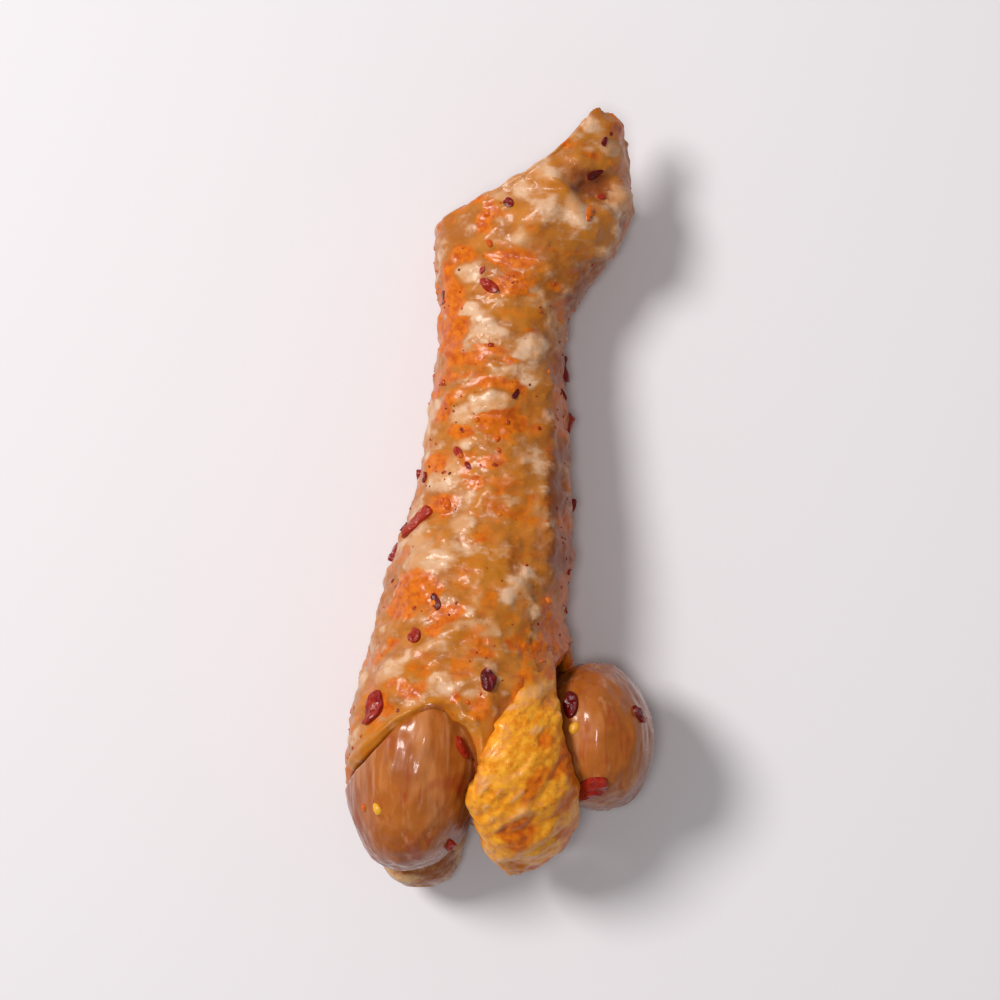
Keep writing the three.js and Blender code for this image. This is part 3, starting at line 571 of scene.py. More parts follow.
def skin_lattice(share, along):
    """The angle and station of a place on the sleeve: share goes round it, along runs to the shoulder.

    The ends waver by up to half a millimetre, as a torn edge does.
    """
    edge_angle, edge_station = along_edge(SHOULDER, share)
    even = SHOULDER["angle"][0] + share * 2 * np.pi
    lean = smooth_step(0.4, 1, along)
    start = station_at_angle(ELBOW, even)
    ring = SLEEVE_RADIUS * np.stack([np.cos(even), np.sin(even), np.zeros_like(even)], axis=-1)
    torn_elbow = 0.5 * layered(ring, 2.6, 401) * smooth_step(0.08, 0, along)
    torn_shoulder = 0.45 * layered(ring, 2.0, 405) * smooth_step(0.92, 1, along)
    station = start + (edge_station - start) * along + torn_elbow + torn_shoulder
    return even * (1 - lean) + edge_angle * lean, station


def sleeve_face(angle, station, end, through):
    """Points of the sleeve, and the surface of the field under them.

    A point is the field's surface plus its normal times a rise: the skin's thickness with the folds
    and the grain, never under half a millimetre. Near the shoulder edge the sleeve sinks on to the
    left muscle, by the gap that is under it.
    """
    base = cast(skin_field, angle, station)
    normal = normal_of(skin_field, base)
    relief = fold_height(base) + knob_height(base) + lumps(base) + skin_grain(base)
    rise = -smooth_min(-(SKIN_THICKNESS + relief), -THINNEST_SKIN, THINNEST_SKIN)
    gap = np.maximum(muscle_field(base, LEFT_MUSCLE) - 0.1, 0)
    sunk = gap * smooth_step(3.6, 2.0, gap) * smooth_step(6.0, 0.5, -past_skin(base))
    points = base + normal * (rise * end * through - sunk)[..., None]
    points[..., 2] = smooth_floor(points[..., 2], (1 - through) * SKIN_THICKNESS)
    return points, base


def sleeve_rows(share, along, through):
    """Rows of the sleeve at a share of its thickness, from its inner face at 0 to its outer face at 1.

    The wall gets thinner and a little rolled at both ends.
    """
    from_end = np.minimum(along, 1 - along) * SLEEVE_LENGTH
    end = 1 - 0.42 * smooth_step(1.3, 0, from_end) + 0.16 * np.exp(-(((from_end - 1.7) / 0.8) ** 2))
    return sleeve_face(*skin_lattice(share, along), end, through)


def build_skin():
    share = (np.arange(SKIN_COLUMNS) / SKIN_COLUMNS)[None, :]
    outer = np.clip(np.linspace(0, 1, SKIN_ROWS), RIM_TUCK, 1 - RIM_TUCK)[:, None]
    inner = np.clip(np.linspace(1, 0, INNER_ROWS), RIM_TUCK, 1 - RIM_TUCK)[:, None]
    shoulder_rim = [sleeve_rows(share, np.array([[1.0]]), through) for through in (0.8, 0.5, 0.2)]
    elbow_rim = [sleeve_rows(share, np.array([[0.0]]), through) for through in (0.2, 0.5, 0.8)]
    bands = [sleeve_rows(share, outer, 1.0), *shoulder_rim, sleeve_rows(share, inner, 0.0), *elbow_rim]
    points = np.concatenate([band[0] for band in bands])
    base = np.concatenate([band[1] for band in bands])
    points[..., 2] = np.maximum(points[..., 2], 0)
    return closed_lattice("skin_sleeve", points, True, skin_tones(base))


# Soft ovals of one tone on the upper side: plan x and y, radii, turn in degrees, and strength.
ORANGE_SPOTS = [
    (-1.3, 34.2, 0.8, 1.8, -35, 0.9), (-2.8, 36.4, 0.9, 0.8, 0, 0.8), (7.2, 43.7, 1.5, 0.7, -45, 0.7),
    (13.6, 46.0, 0.9, 1.5, -10, 0.9), (10.2, 42.3, 1.2, 0.7, -40, 0.6), (1.4, 29.3, 2.5, 1.0, -10, 1.0),
    (-3.6, 29.8, 1.6, 0.9, 0, 0.7), (1.6, 26.4, 1.9, 1.5, 0, 0.7), (6.1, 26.4, 1.0, 0.8, 0, 0.8),
    (6.4, 23.8, 0.9, 1.4, 0, 0.6), (3.1, 20.5, 0.9, 0.6, 0, 0.7), (-5.4, 24.4, 1.5, 2.4, 0, 1.0),
    (-4.8, 21.0, 1.7, 1.2, 0, 1.0), (-4.8, 18.8, 1.3, 1.6, 8, 1.0), (-3.6, 17.3, 1.7, 0.8, -10, 0.9),
    (-1.2, 18.2, 2.0, 0.7, -14, 0.8), (1.0, 16.9, 1.0, 0.6, -20, 0.7), (-7.0, 13.8, 1.0, 1.2, 0, 1.0),
    (-5.0, 14.7, 1.3, 0.6, 10, 0.7), (-1.0, 14.3, 1.4, 0.7, 0, 0.7), (1.6, 13.8, 1.2, 0.7, 0, 0.7),
    (-5.7, 11.5, 0.6, 2.3, -28, 0.8), (-0.2, 9.1, 2.1, 1.3, 10, 1.0), (-3.9, 8.2, 1.3, 0.7, 0, 0.8),
    (-5.4, 27.4, 0.9, 2.0, 0, 0.8), (-7.0, 4.4, 0.8, 0.8, 0, 0.9), (-1.4, 4.4, 1.5, 0.9, 10, 0.9),
    (-2.6, 2.1, 0.8, 1.0, 0, 0.7), (-8.9, 2.2, 0.7, 1.4, 0, 0.7), (-6.4, -0.7, 1.2, 1.2, 0, 1.0),
    (-8.8, -11.2, 2.8, 1.6, 5, 1.0), (-6.4, -13.4, 2.2, 1.5, 0, 0.9), (-10.8, -13.6, 1.2, 1.6, 20, 0.9),
    (-7.4, -16.1, 0.9, 0.8, 0, 0.9), (-2.6, -18.5, 1.3, 0.8, 0, 0.7), (1.2, -17.6, 1.0, 1.0, 0, 0.9),
    (3.4, -18.2, 1.5, 1.0, 0, 0.9), (4.6, -14.6, 0.7, 2.6, 10, 0.9), (6.2, -17.8, 2.2, 4.0, 10, 1.0),
    (4.6, -23.4, 2.6, 2.4, 0, 1.0), (0.4, -26.8, 0.6, 3.0, -21, 0.8), (-5.4, -23.4, 0.5, 1.4, 0, 0.6),
    (-3.0, -25.6, 0.7, 0.6, 0, 0.7), (-13.6, -24.6, 0.9, 1.3, 0, 0.6), (-18.2, -30.4, 0.8, 1.6, 0, 0.9),
    (-10.4, -22.8, 1.4, 0.9, 30, 0.6), (-13.0, -18.4, 2.4, 0.7, 40, 0.6), (6.2, 12.0, 0.9, 5.0, 0, 0.9),
    (6.8, -6.0, 1.2, 8.0, 4, 0.9), (2.8, 0.2, 0.9, 0.8, 0, 0.4), (-2.5, -4.8, 0.7, 0.6, 0, 0.6),
]
# Pale unstained skin, and painted highlights: glossy spots and a lit band down the left outline.
PALE_AND_HIGHLIGHT_SPOTS = [
    (4.8, 40.0, 1.3, 1.1, -40, 0.8), (10.8, 45.2, 1.6, 0.8, -45, 0.8), (12.4, 42.9, 0.8, 0.9, 0, 1.0),
    (8.2, 35.2, 0.8, 1.2, 0, 1.0), (13.4, 36.8, 1.4, 1.7, 0, 1.0), (10.6, 31.0, 1.5, 1.2, 0, 0.5),
    (2.4, 31.6, 1.2, 1.4, 0, 0.8), (-0.6, 37.0, 1.7, 0.8, -35, 0.8), (2.6, 37.4, 1.0, 0.9, -40, 0.7),
    (-3.5, 27.6, 1.1, 1.0, 0, 0.8), (-3.9, 23.3, 1.1, 0.8, 0, 0.9), (3.2, 27.8, 1.2, 0.7, 0, 0.6),
    (3.8, 25.0, 0.9, 1.0, 0, 0.6), (-1.6, 20.2, 1.6, 1.0, 0, 0.8), (3.4, 18.6, 1.8, 1.2, 0, 0.7),
    (5.3, 21.6, 0.7, 1.6, 0, 0.7), (-6.9, 18.4, 0.7, 2.0, 0, 0.9), (0.0, 15.4, 1.2, 0.9, 0, 0.7),
    (3.1, 15.0, 1.1, 1.6, 0, 0.6), (-3.2, 14.2, 0.8, 0.7, 0, 0.7), (-1.4, 11.7, 1.6, 1.1, 0, 1.0),
    (-4.3, 9.9, 1.0, 1.0, 0, 0.9), (-7.2, 11.2, 0.6, 1.6, 0, 0.9), (-5.4, 3.2, 1.0, 1.7, 0, 1.0),
    (-7.4, 2.4, 0.8, 1.0, 0, 0.8), (-3.7, 6.9, 1.0, 0.7, 0, 0.9), (-4.3, -0.6, 0.9, 1.0, 0, 0.7),
    (-0.5, 2.2, 1.2, 0.8, 0, 0.5), (-4.3, -3.2, 1.3, 1.5, 0, 1.0), (-8.6, -5.6, 1.5, 1.2, 0, 0.9),
    (-8.2, -8.1, 2.2, 1.3, 10, 1.0), (-1.5, -2.2, 1.3, 0.8, 0, 0.5), (4.1, 4.2, 0.9, 2.0, 0, 0.6),
    (3.9, -1.6, 0.8, 4.0, 0, 0.6), (-3.0, -11.4, 0.9, 1.9, 0, 0.8), (1.6, -10.8, 1.3, 2.1, 0, 0.8),
    (2.8, -13.2, 0.6, 1.4, 0, 0.8), (-2.3, -15.7, 1.6, 1.0, 0, 1.0), (3.0, -16.3, 0.6, 0.6, 0, 0.8),
    (-12.4, -21.1, 2.0, 0.6, 37, 0.9), (-16.0, -21.6, 1.3, 2.4, -20, 0.7), (-7.0, -22.0, 1.7, 1.1, 20, 1.0),
    (-10.2, -24.2, 1.4, 0.5, 35, 0.8), (-3.6, -23.2, 0.9, 0.7, 0, 0.8), (-4.8, -25.8, 0.7, 0.8, 0, 0.6),
    (-1.2, -26.0, 0.8, 1.3, 0, 0.5), (-8.0, -18.4, 1.6, 0.7, 30, 0.6), (-1.2, -32.2, 0.9, 1.2, 0, 0.8),
    (-7.7, 26.8, 1.0, 4.2, 0, 1.0), (-7.9, 19.4, 1.0, 3.6, 0, 1.0), (-8.4, 8.6, 1.0, 3.4, 6, 0.9),
]
YELLOW_SPOTS = [
    (-5.8, -6.8, 1.2, 1.8, 0, 0.9), (-2.0, -7.4, 2.2, 2.6, 0, 1.0), (-1.8, -0.2, 2.0, 1.4, 0, 0.8),
    (-9.8, -21.2, 3.0, 1.2, 30, 0.9), (-2.6, -28.4, 1.2, 2.8, 0, 1.0), (1.4, -2.0, 1.2, 2.0, 0, 0.8),
    (-5.0, -17.4, 3.4, 1.4, 20, 0.7), (-14.8, -27.8, 2.4, 1.0, 40, 1.0), (0.4, -14.2, 1.6, 1.6, 0, 0.7),
    (5.4, 38.0, 1.4, 2.6, -40, 0.7), (8.4, 31.6, 1.4, 2.0, -20, 0.9), (1.0, 35.8, 2.0, 1.0, -40, 0.8),
    (13.2, 41.6, 1.0, 2.0, 0, 0.6), (0.2, 23.4, 2.0, 1.6, 0, 0.7), (3.0, 22.4, 1.6, 2.4, 0, 0.7),
    (-3.0, 12.6, 1.6, 0.8, 0, 0.5), (1.0, 6.0, 1.6, 1.6, 0, 0.6), (-8.1, -23.9, 1.6, 0.7, 20, 0.8),
]
ROSY_SPOTS = [
    (9.6, 38.9, 2.4, 1.5, -30, 0.9), (13.8, 38.6, 0.7, 1.4, 0, 0.5), (4.6, 30.4, 1.4, 1.2, 0, 0.5),
    (3.8, -4.6, 0.7, 2.4, 0, 0.5), (10.4, 27.6, 1.4, 1.6, 0, 0.4), (-6.8, 32.6, 1.4, 1.6, 0, 0.5),
]
# Brown: painted shade in hollows and on the right flank, with a few dark marks of the skin's own.
BROWN_SHADE_AND_MARK_SPOTS = [
    (1.2, -7.0, 0.8, 1.9, 0, 0.5), (8.5, 37.6, 0.7, 0.6, 0, 0.8), (11.8, 38.2, 0.6, 1.8, 0, 0.8),
    (9.6, 38.9, 2.6, 1.5, -30, 0.65), (13.6, 33.4, 1.2, 2.4, 0, 0.6), (11.6, 29.4, 1.6, 2.4, -20, 0.7),
    (8.4, 25.0, 1.4, 3.6, -12, 0.8), (-2.6, -14.3, 0.6, 0.7, 0, 0.5), (6.2, 29.4, 1.2, 1.4, 0, 0.4),
    (0.4, -27.4, 0.5, 2.6, -21, 0.6), (1.2, -1.9, 0.7, 1.0, 0, 0.4),
]
# Stains on the tongue.
TONGUE_SPOTS = [
    (2.6, -34.0, 1.0, 2.4, -20, 0.9), (1.6, -37.8, 1.3, 1.7, 0, 0.9), (6.4, -34.6, 0.8, 1.5, -40, 0.8),
    (7.4, -39.4, 1.3, 1.2, 0, 0.8), (4.2, -28.6, 1.2, 1.4, 0, 0.6), (6.6, -30.2, 0.9, 2.0, 0, 0.7),
]


def spot_tone(p, spots, ragged=0.35):
    """The strongest of the spots at each place: full inside an oval and fading out at a ragged rim."""
    wobble = ragged * layered(p * np.array([0.8, 1.3, 0.8]), 2.2, 71)
    tone = np.zeros(p.shape[:-1])
    for x, y, rx, ry, turn, strength in spots:
        local = turned(p - np.array([x, y, 0.0]), -turn)
        away = np.hypot(local[..., 0] / rx, local[..., 1] / ry)
        tone = np.maximum(tone, strength * smooth_step(1.75, 0.3, away + wobble))
    return tone * smooth_step(7.0, 11.0, p[..., 2])


def skin_tones(p):
    """How much each place is stained, pale, yellow with fat, rosy, brown or in a crease.

    On the upper side these follow the named spots: some pale spots are painted highlights, and
    the brown spots are mostly painted shade. Elsewhere they come from layered noise. A band of the
    right flank is brown, painted shade with some marinade stain, and the underside is brown with
    painted shade too. The cut edge round the muscles is yellow, and hollows hold more marinade than
    ridges do, with painted shade in the creases.
    """
    hidden = 1 - 0.8 * upper_side(p)
    across = p * np.array([0.7, 1.5, 0.7])
    folds = fold_height(p) + fold_height(p, FINE_FOLDS) + knob_height(p) + knob_height(p, FINE_KNOBS)
    hollow = smooth_step(0.05, 0.7, -folds)
    ridge = smooth_step(0.15, 0.8, folds)
    grain = ridged(p * np.array([0.5, 1.3, 0.5]), 2.6, 31)
    # Painted shade in fold hollows and grain creases, where marinade also pools.
    crease = np.maximum(hollow, 0.4 * smooth_step(0.4, 1.0, grain))
    rim = smooth_step(2.6, 0.4, -past_skin(p))
    stain = smooth_step(-0.2, 0.9, layered(across, 3.6, 3)) * hidden + 0.2 * grain
    fatty = smooth_step(-0.2, 0.7, layered(p, 8.0, 17)) * (0.35 + 0.5 * hidden)
    light = smooth_step(0.0, 0.9, layered(across, 3.0, 23)) * (0.3 + 0.5 * hidden)
    pale = spot_tone(p, PALE_AND_HIGHLIGHT_SPOTS)
    orange = np.maximum(stain * (1 - pale), spot_tone(p, ORANGE_SPOTS))
    # Painted shade, partly marinade stain: a brown band down the right flank of the limb's middle.
    middle = smooth_step(25, 13, p[..., 1]) * smooth_step(-13, -6, p[..., 1])
    flank = smooth_step(3.8, 5.4, p[..., 0]) * smooth_step(4.5, 8.5, p[..., 2])
    flank_shade_and_stain = np.clip(0.9 * flank * middle * (0.85 + 0.8 * layered(across, 4.0, 37)), 0, 1)
    # Painted shade: brown on the underside, near the floor.
    under = 0.5 * smooth_step(5.0, 0.5, p[..., 2])
    return {
        "orange": np.clip(orange - 0.2 * ridge, 0, 1),
        "yellow": np.maximum(np.maximum(fatty, spot_tone(p, YELLOW_SPOTS)), rim),
        "pale": np.clip(np.maximum(light, pale) + 0.25 * ridge - 0.5 * rim, 0, 1),
        "rosy": spot_tone(p, ROSY_SPOTS),
        "brown": np.maximum(np.maximum(spot_tone(p, BROWN_SHADE_AND_MARK_SPOTS), under), flank_shade_and_stain),
        "crease": crease,
        "valley": smooth_step(0.3, -0.3, puckers(p) + 0.3 * follicles(p, 1.9) - 0.05),
        "fat": np.zeros_like(orange),
    }


# The tongue

TONGUE_ROWS = 190
TONGUE_COLUMNS = 100
TONGUE_ROOT = 0.9


def tongue_axis(along):
    """The angle, station and half width of the tongue's middle line."""
    line = placed(TONGUE_LINE)
    angle, station = ray_through(spline(line, along, False))
    half = np.interp(along * (len(line) - 1), np.arange(len(line)), TONGUE_HALVES)
    return angle, station, half


def build_tongue():
    """A flap along its middle line: a flattened arch across it, which swells from its root.

    Its relief is uneven lumps of fat and the bumps of plucked skin.
    """
    along = np.linspace(0, 1, TONGUE_ROWS)
    angle, station, half = tongue_axis(along)
    across = np.cos(np.linspace(np.pi, 0, TONGUE_COLUMNS))
    side = np.sign(across)[None, :] * 9 + along[:, None] * 40
    none = np.zeros_like(side)
    ragged = 1 + 0.13 * layered(np.stack([side, none, none], axis=-1), 2.4, 5)
    spread = angle[:, None] + across[None, :] * half[:, None] * ragged / MEAN_RADIUS
    base = cast(skin_field, spread, station[:, None])
    normal = normal_of(skin_field, base)
    swell = smooth_step(0.08, 0.5, along)[:, None] * np.sqrt(1 - 0.96 * across**4)[None, :]
    slanted = turned(base, 45) * np.array([1.4, 0.75, 1.0])
    lumpy = 0.38 * layered(slanted, 2.6, 41) + 0.16 * layered(slanted, 1.1, 43)
    bumps = follicles(slanted, 1.7)
    thickness = TONGUE_ROOT + (TONGUE_THICKNESS - TONGUE_ROOT + lumpy + 0.32 * bumps) * swell
    top = base + normal * thickness[..., None]
    points = np.concatenate([top, base[:, ::-1]], axis=1)
    both = np.concatenate([base, base[:, ::-1]], axis=1)
    both_lumpy = np.concatenate([lumpy, lumpy[:, ::-1]], axis=1)
    both_bumps = np.concatenate([bumps, bumps[:, ::-1]], axis=1)
    down = np.broadcast_to(along[:, None], both.shape[:2])
    low = layered(both, 3.4, 61)
    fat = smooth_step(0.15, 0.38, down)
    stained = np.maximum(0.45 * smooth_step(0.0, 0.8, low), spot_tone(both, TONGUE_SPOTS))
    tones = {
        "orange": np.maximum(0.6 * (1 - fat), stained),
        "yellow": 0.4 + 0.4 * fat,
        # Pale on the tops of the fat's bumps, partly painted highlight.
        "pale": 0.75 * both_bumps * fat,
        "rosy": np.zeros_like(low),
        # Darker brown towards the tip, where the tongue bends down to the floor.
        "brown": 0.7 * smooth_step(-40.0, -44.5, both[..., 1]),
        # Painted shade in the hollows between the fat's lumps.
        "crease": 0.2 * smooth_step(-0.1, -0.6, both_lumpy),
        "valley": smooth_step(0.2, -0.4, both_lumpy),
        "fat": fat,
    }
    return closed_lattice("skin_tongue", points, False, tones)


# The meat

MUSCLE_ROWS = 160
MUSCLE_COLUMNS = 260
CORE_ROWS = 160
CORE_COLUMNS = 220
BARE_DEPTH = 2.4


def muscle_point(direction, muscle):
    """A muscle's surface in a direction: its ellipsoid, swollen where it is bare, with strands along it."""
    radii = np.array(muscle["radii"])
    bare = smooth_step(-0.5, 1.0, past_skin(from_muscle(direction * radii, muscle)))
    local = direction * (radii + (-MEAT_INSET + bare * (MEAT_INSET + MUSCLE_BULGE))[..., None])
    fibres = layered(local * np.array([1.0, 0.14, 1.0]), 0.8, 211)
    strands = layered(local * np.array([1.0, 0.18, 1.0]), 3.0, 221)
    sag = layered(local, 5.0, 231)
    local = local + direction * (0.05 * fibres + 0.2 * strands + 0.26 * sag)[..., None]
    points = from_muscle(local, muscle)
    points[..., 2] = smooth_floor(points[..., 2], (1 - bare) * COVERED_FLOOR)
    return points, fibres, strands, bare


def build_muscle(name, muscle):
    """A muscle all round: rings about its long axis, each direction with its own point."""
    fall = ((np.arange(MUSCLE_ROWS) + 0.5) / MUSCLE_ROWS * np.pi)[:, None]
    angle = (np.arange(MUSCLE_COLUMNS) / MUSCLE_COLUMNS * 2 * np.pi)[None, :]
    direction = np.stack(
        [np.sin(fall) * np.sin(angle), np.cos(fall) + 0 * angle, np.sin(fall) * np.cos(angle)], axis=-1
    )
    points, fibres, strands, bare = muscle_point(direction, muscle)
    # Painted shade: darker where the muscle's surface turns from straight up towards its sides and
    # underside.
    rim = smooth_step(0.95, 0.3, direction[..., 2])
    tones = {
        "fibre": 0.5 + 0.4 * strands + 0.3 * fibres,
        "dark": np.clip(0.75 * rim + 0.5 * smooth_step(0.2, 1.0, layered(points, 4.0, 241)), 0, 1),
        "red": 0.8 * smooth_step(0.25, 0.9, layered(points, 2.6, 251)),
        "bare": bare,
    }
    return closed_lattice(name, points, False, tones)


def build_core():
    """The meat between the muscles: the skin's bed, a little further in, and deeper where it is bare."""
    end = FAN_START - FAN_LENGTH
    share = (np.arange(CORE_ROWS) / CORE_ROWS)[:, None]
    station = MEAT_ELBOW_END + (end - MEAT_ELBOW_END) * share
    angle = (np.arange(CORE_COLUMNS) / CORE_COLUMNS * 2 * np.pi)[None, :]
    base = cast(skin_field, angle, station)
    bare = bareness(base)
    fibres = layered(base * np.array([1.0, 0.3, 1.0]), 1.6, 81)
    depth = -MEAT_INSET - BARE_DEPTH * bare + 0.3 * fibres * bare
    points = base + normal_of(skin_field, base) * depth[..., None]
    points[..., 2] = smooth_floor(points[..., 2], (1 - bare) * COVERED_FLOOR)
    tones = {
        "fibre": 0.5 + 0.5 * fibres,
        # The meat between the muscles is darker overall, with random mottling.
        "dark": 0.6 + 0.3 * layered(base, 4.0, 83),
        "red": smooth_step(0.0, 0.8, layered(base, 3.5, 85)),
        "bare": bare,
    }
    return closed_lattice("shoulder_meat", points, False, tones)


# The bone

BONE_ROWS = 220
BONE_COLUMNS = 110


def build_bone():
    """Ellipses carried along the bone's table, grooved between the two lobes of the elbow's knuckle."""
    place = spline(BONE, np.linspace(0, 1, BONE_ROWS), False)
    angle = (np.arange(BONE_COLUMNS) / BONE_COLUMNS * 2 * np.pi)[None, :]
    y, x, z, w, h = (place[:, k][:, None] for k in range(5))
    flat = np.zeros((BONE_ROWS, BONE_COLUMNS))
    groove = 0.2 * smooth_step(27, 34, y) * np.exp(-((np.sin(angle) / 0.35) ** 2))
    points = np.stack([x + w * np.sin(angle), y + flat, z + h * (1 - groove) * np.cos(angle)], axis=-1)
    outward = np.stack([flat + np.sin(angle), flat, flat + np.cos(angle)], axis=-1)
    head = smooth_step(-39, -43, points[..., 1])
    rough = 0.14 * layered(points, 1.5, 91) + 0.4 * head * layered(points, 2.6, 95)
    points = points + outward * rough[..., None]
    tones = {
        "gristle": np.maximum(smooth_step(29, 33, points[..., 1]), head),
        "stain": smooth_step(-0.3, 0.7, layered(points, 2.4, 93)),
    }
    return closed_lattice("wing_bone", points, False, tones)


# Toppings

# The chilli flakes on the top: plan x and y, length, width, turn in degrees, and what each lies on.
TOP_FLAKES = [
    (-10.3, -3.0, 5.6, 1.8, -38, "skin"), (-15.3, -25.2, 4.4, 2.4, -24, "skin"),
    (-1.6, -21.6, 2.6, 2.0, 10, "skin"), (-10.2, -16.6, 1.9, 1.6, 20, "skin"),
    (-1.4, 26.0, 2.7, 1.5, 58, "skin"), (-4.8, -29.4, 3.2, 1.4, 32, "left"),
    (-6.4, -41.8, 2.4, 1.4, 50, "left"), (8.6, -24.6, 3.6, 2.0, 12, "right"),
    (11.0, -34.4, 4.2, 3.0, -50, "right"), (16.2, -25.8, 2.2, 1.4, 20, "right"),
]
SIDE_FLAKES = 10
SIDE_FLAKE_SIZE = (2.6, 1.7)
FLAKE_HEIGHT = 0.6
FLAKE_CORNERS = 8
FLAKE_CURL = 0.22
FLAKE_SIDES = 24
MUSCLES = {"left": LEFT_MUSCLE, "right": RIGHT_MUSCLE}


def draws(seed):
    """The CAD model's random draws: each is the last times 16807, cut down by 2147483647."""
    state = seed
    while True:
        state = state * 16807 % 2147483647
        yield state / 2147483647


def skin_surface(angle, station):
    """The sleeve's outer face at angles and stations."""
    return sleeve_face(angle, station, 1.0, 1.0)[0]


def nearest_on(p, ground):
    """Where the ray through each point meets the skin, or a bare muscle."""
    if ground == "skin":
        return skin_surface(*ray_through(p))
    local = to_muscle(p, MUSCLES[ground])
    return muscle_point(unit(local / np.array(MUSCLES[ground]["radii"])), MUSCLES[ground])[0]


def seat_above(x, y, ground):
    """The place of the ground over a point of the plan, found by trying again from each height."""
    p = np.array([x, y, 20.0])
    for _ in range(12):
        p = np.array([x, y, nearest_on(p, ground)[2]])
    return p


def ground_normal(p, ground):
    """The ground's slope at a place, from the smooth field under it, or from the muscle's ellipsoid."""
    if ground == "skin":
        return normal_of(skin_field, p)
    return normal_of(lambda q: muscle_field(q, MUSCLES[ground]), p)


# How many of each small topping are scattered. Specks are kept where the stain is strong.
SPECK_PLACES = 900
SPECKS = 330
SHREDS = 16
SMALL_DROPS = 22

# A chip's rings from its middle: share of its half size, and share of its height.
FLAKE_PROFILE = [(0.3, 0.9), (0.6, 0.86), (0.85, 0.8), (0.97, 0.74), (1.0, 0.5), (1.0, -0.15)]
BEAD_PROFILE = [(0.3, 0.95), (0.55, 0.82), (0.76, 0.6), (0.9, 0.34), (0.98, 0.1), (1.0, -0.1)]
GRAIN_PROFILE = [(0.6, 0.85), (1.0, 0.1)]


def chip_mesh(name, chips, profile, sides, tones, fitted=True, smooth=True):
    """Chips joined in one mesh.

    A chip is rings of points about its middle, out to a crooked oval that is straight between its
    corners. The profile gives each ring's height over the ground, and one side curls up.
    """
    angle = np.arange(sides) / sides * 2 * np.pi
    ring = np.array(profile)[:, :1]
    level = np.array(profile)[:, 1:]
    c = np.arange(sides)
    beside = (c + 1) % sides
    r = np.arange(len(profile) - 1)[:, None]
    inner, outer = r * sides, (r + 1) * sides
    band = np.stack([inner + c, inner + beside, outer + beside, outer + c], axis=-1)
    total = len(profile) * sides
    last = total - sides
    fans = np.concatenate([
        np.stack([np.full(sides, total), beside, c], axis=1),
        np.stack([np.full(sides, total + 1), last + c, last + beside], axis=1),
    ])
    points = []
    for chip in chips:
        turns = np.linspace(0, 2 * np.pi, len(chip["corners"]) + 1)
        corner = np.interp(angle, turns, [*chip["corners"], chip["corners"][0]])
        normal, ahead = chip["normal"], chip["ahead"]
        along = (chip["length"] / 2 * np.cos(angle) * corner)[None, :] * ring
        across = (chip["width"] / 2 * np.sin(angle) * corner)[None, :] * ring
        flat = chip["point"] + along[..., None] * ahead + across[..., None] * np.cross(ahead, normal)
        bed = nearest_on(flat, chip["ground"]) if fitted else flat
        curl = chip["curl"] * np.cos(angle * 2 + chip["length"] * 9)[None, :] * ring**2
        crumple = chip["curl"] * 2.2 * layered(flat, 0.9, 61, 2)
        rise = chip["height"] * (level + np.where(level > 0, curl + crumple, 0))
        top = (bed + rise[..., None] * normal).reshape(-1, 3)
        peak = chip["point"] + chip["height"] * normal
        foot = chip["point"] - chip["height"] * 0.7 * normal
        points.append(np.vstack([top, peak, foot]))
    starts = (np.arange(len(chips)) * (total + 2))[:, None, None]
    quads = (band.reshape(1, -1, 4) + starts).reshape(-1, 4)
    triangles = (fans[None] + starts).reshape(-1, 3)
    values = {key: np.repeat(value, total + 2) for key, value in tones.items()}
    return build_mesh(name, np.concatenate(points), quads, triangles, values, smooth)


def make_chip(point, ground, length, width, turn, corners, height, curl=0.0):
    """A chip at a place of the ground, its length turned from the limb's line about the normal."""
    normal = ground_normal(point, ground)
    ahead = unit(np.array([0.0, 1.0, 0.0]) - normal * normal[1])
    c, s = np.cos(np.radians(turn)), np.sin(np.radians(turn))
    ahead = c * ahead + s * np.cross(normal, ahead)
    return {
        "point": point, "normal": normal, "ahead": ahead, "ground": ground, "length": length, "width": width,
        "corners": corners, "height": height, "curl": curl,
    }


def flake_chips():
    """The CAD model's chilli flakes: the ten of the top, then those of the sides, from its own draws."""
    random = draws(7)
    skin, meat = [], []
    for x, y, length, width, turn, ground in TOP_FLAKES:
        corners = [0.8 + 0.35 * next(random) for _ in range(FLAKE_CORNERS)]
        place = seat_above(x, y, ground)
        chip = make_chip(place, ground, length, width, turn, corners, FLAKE_HEIGHT, FLAKE_CURL)
        (skin if ground == "skin" else meat).append(chip)
    for i in range(SIDE_FLAKES):
        angle = (1 if i % 2 else -1) * (1.65 + 0.6 * next(random))
        station = -16 + ((i + next(random)) / SIDE_FLAKES) * 44
        size = 0.7 + 0.6 * next(random)
        turn = 180 * next(random)
        point = skin_surface(np.array(angle), np.array(station))
        if point[2] < 2.5:
            continue
        corners = [0.8 + 0.35 * next(random) for _ in range(FLAKE_CORNERS)]
        length, width = SIDE_FLAKE_SIZE[0] * size, SIDE_FLAKE_SIZE[1] * size
        skin.append(make_chip(point, "skin", length, width, turn, corners, FLAKE_HEIGHT, FLAKE_CURL))
    return skin, meat


def scattered_places(count, seed):
    """Random places on the sleeve, away from its ends and from the floor."""
    random = np.random.default_rng(seed)
    angle = random.uniform(-np.pi, np.pi, count * 2)
    share = random.uniform(0.02, 0.985, count * 2)
    start, stop = station_at_angle(ELBOW, angle), station_at_angle(SHOULDER, angle)
    points = skin_surface(angle, start + (stop - start) * share)
    return points[points[:, 2] > 1.2][:count], random


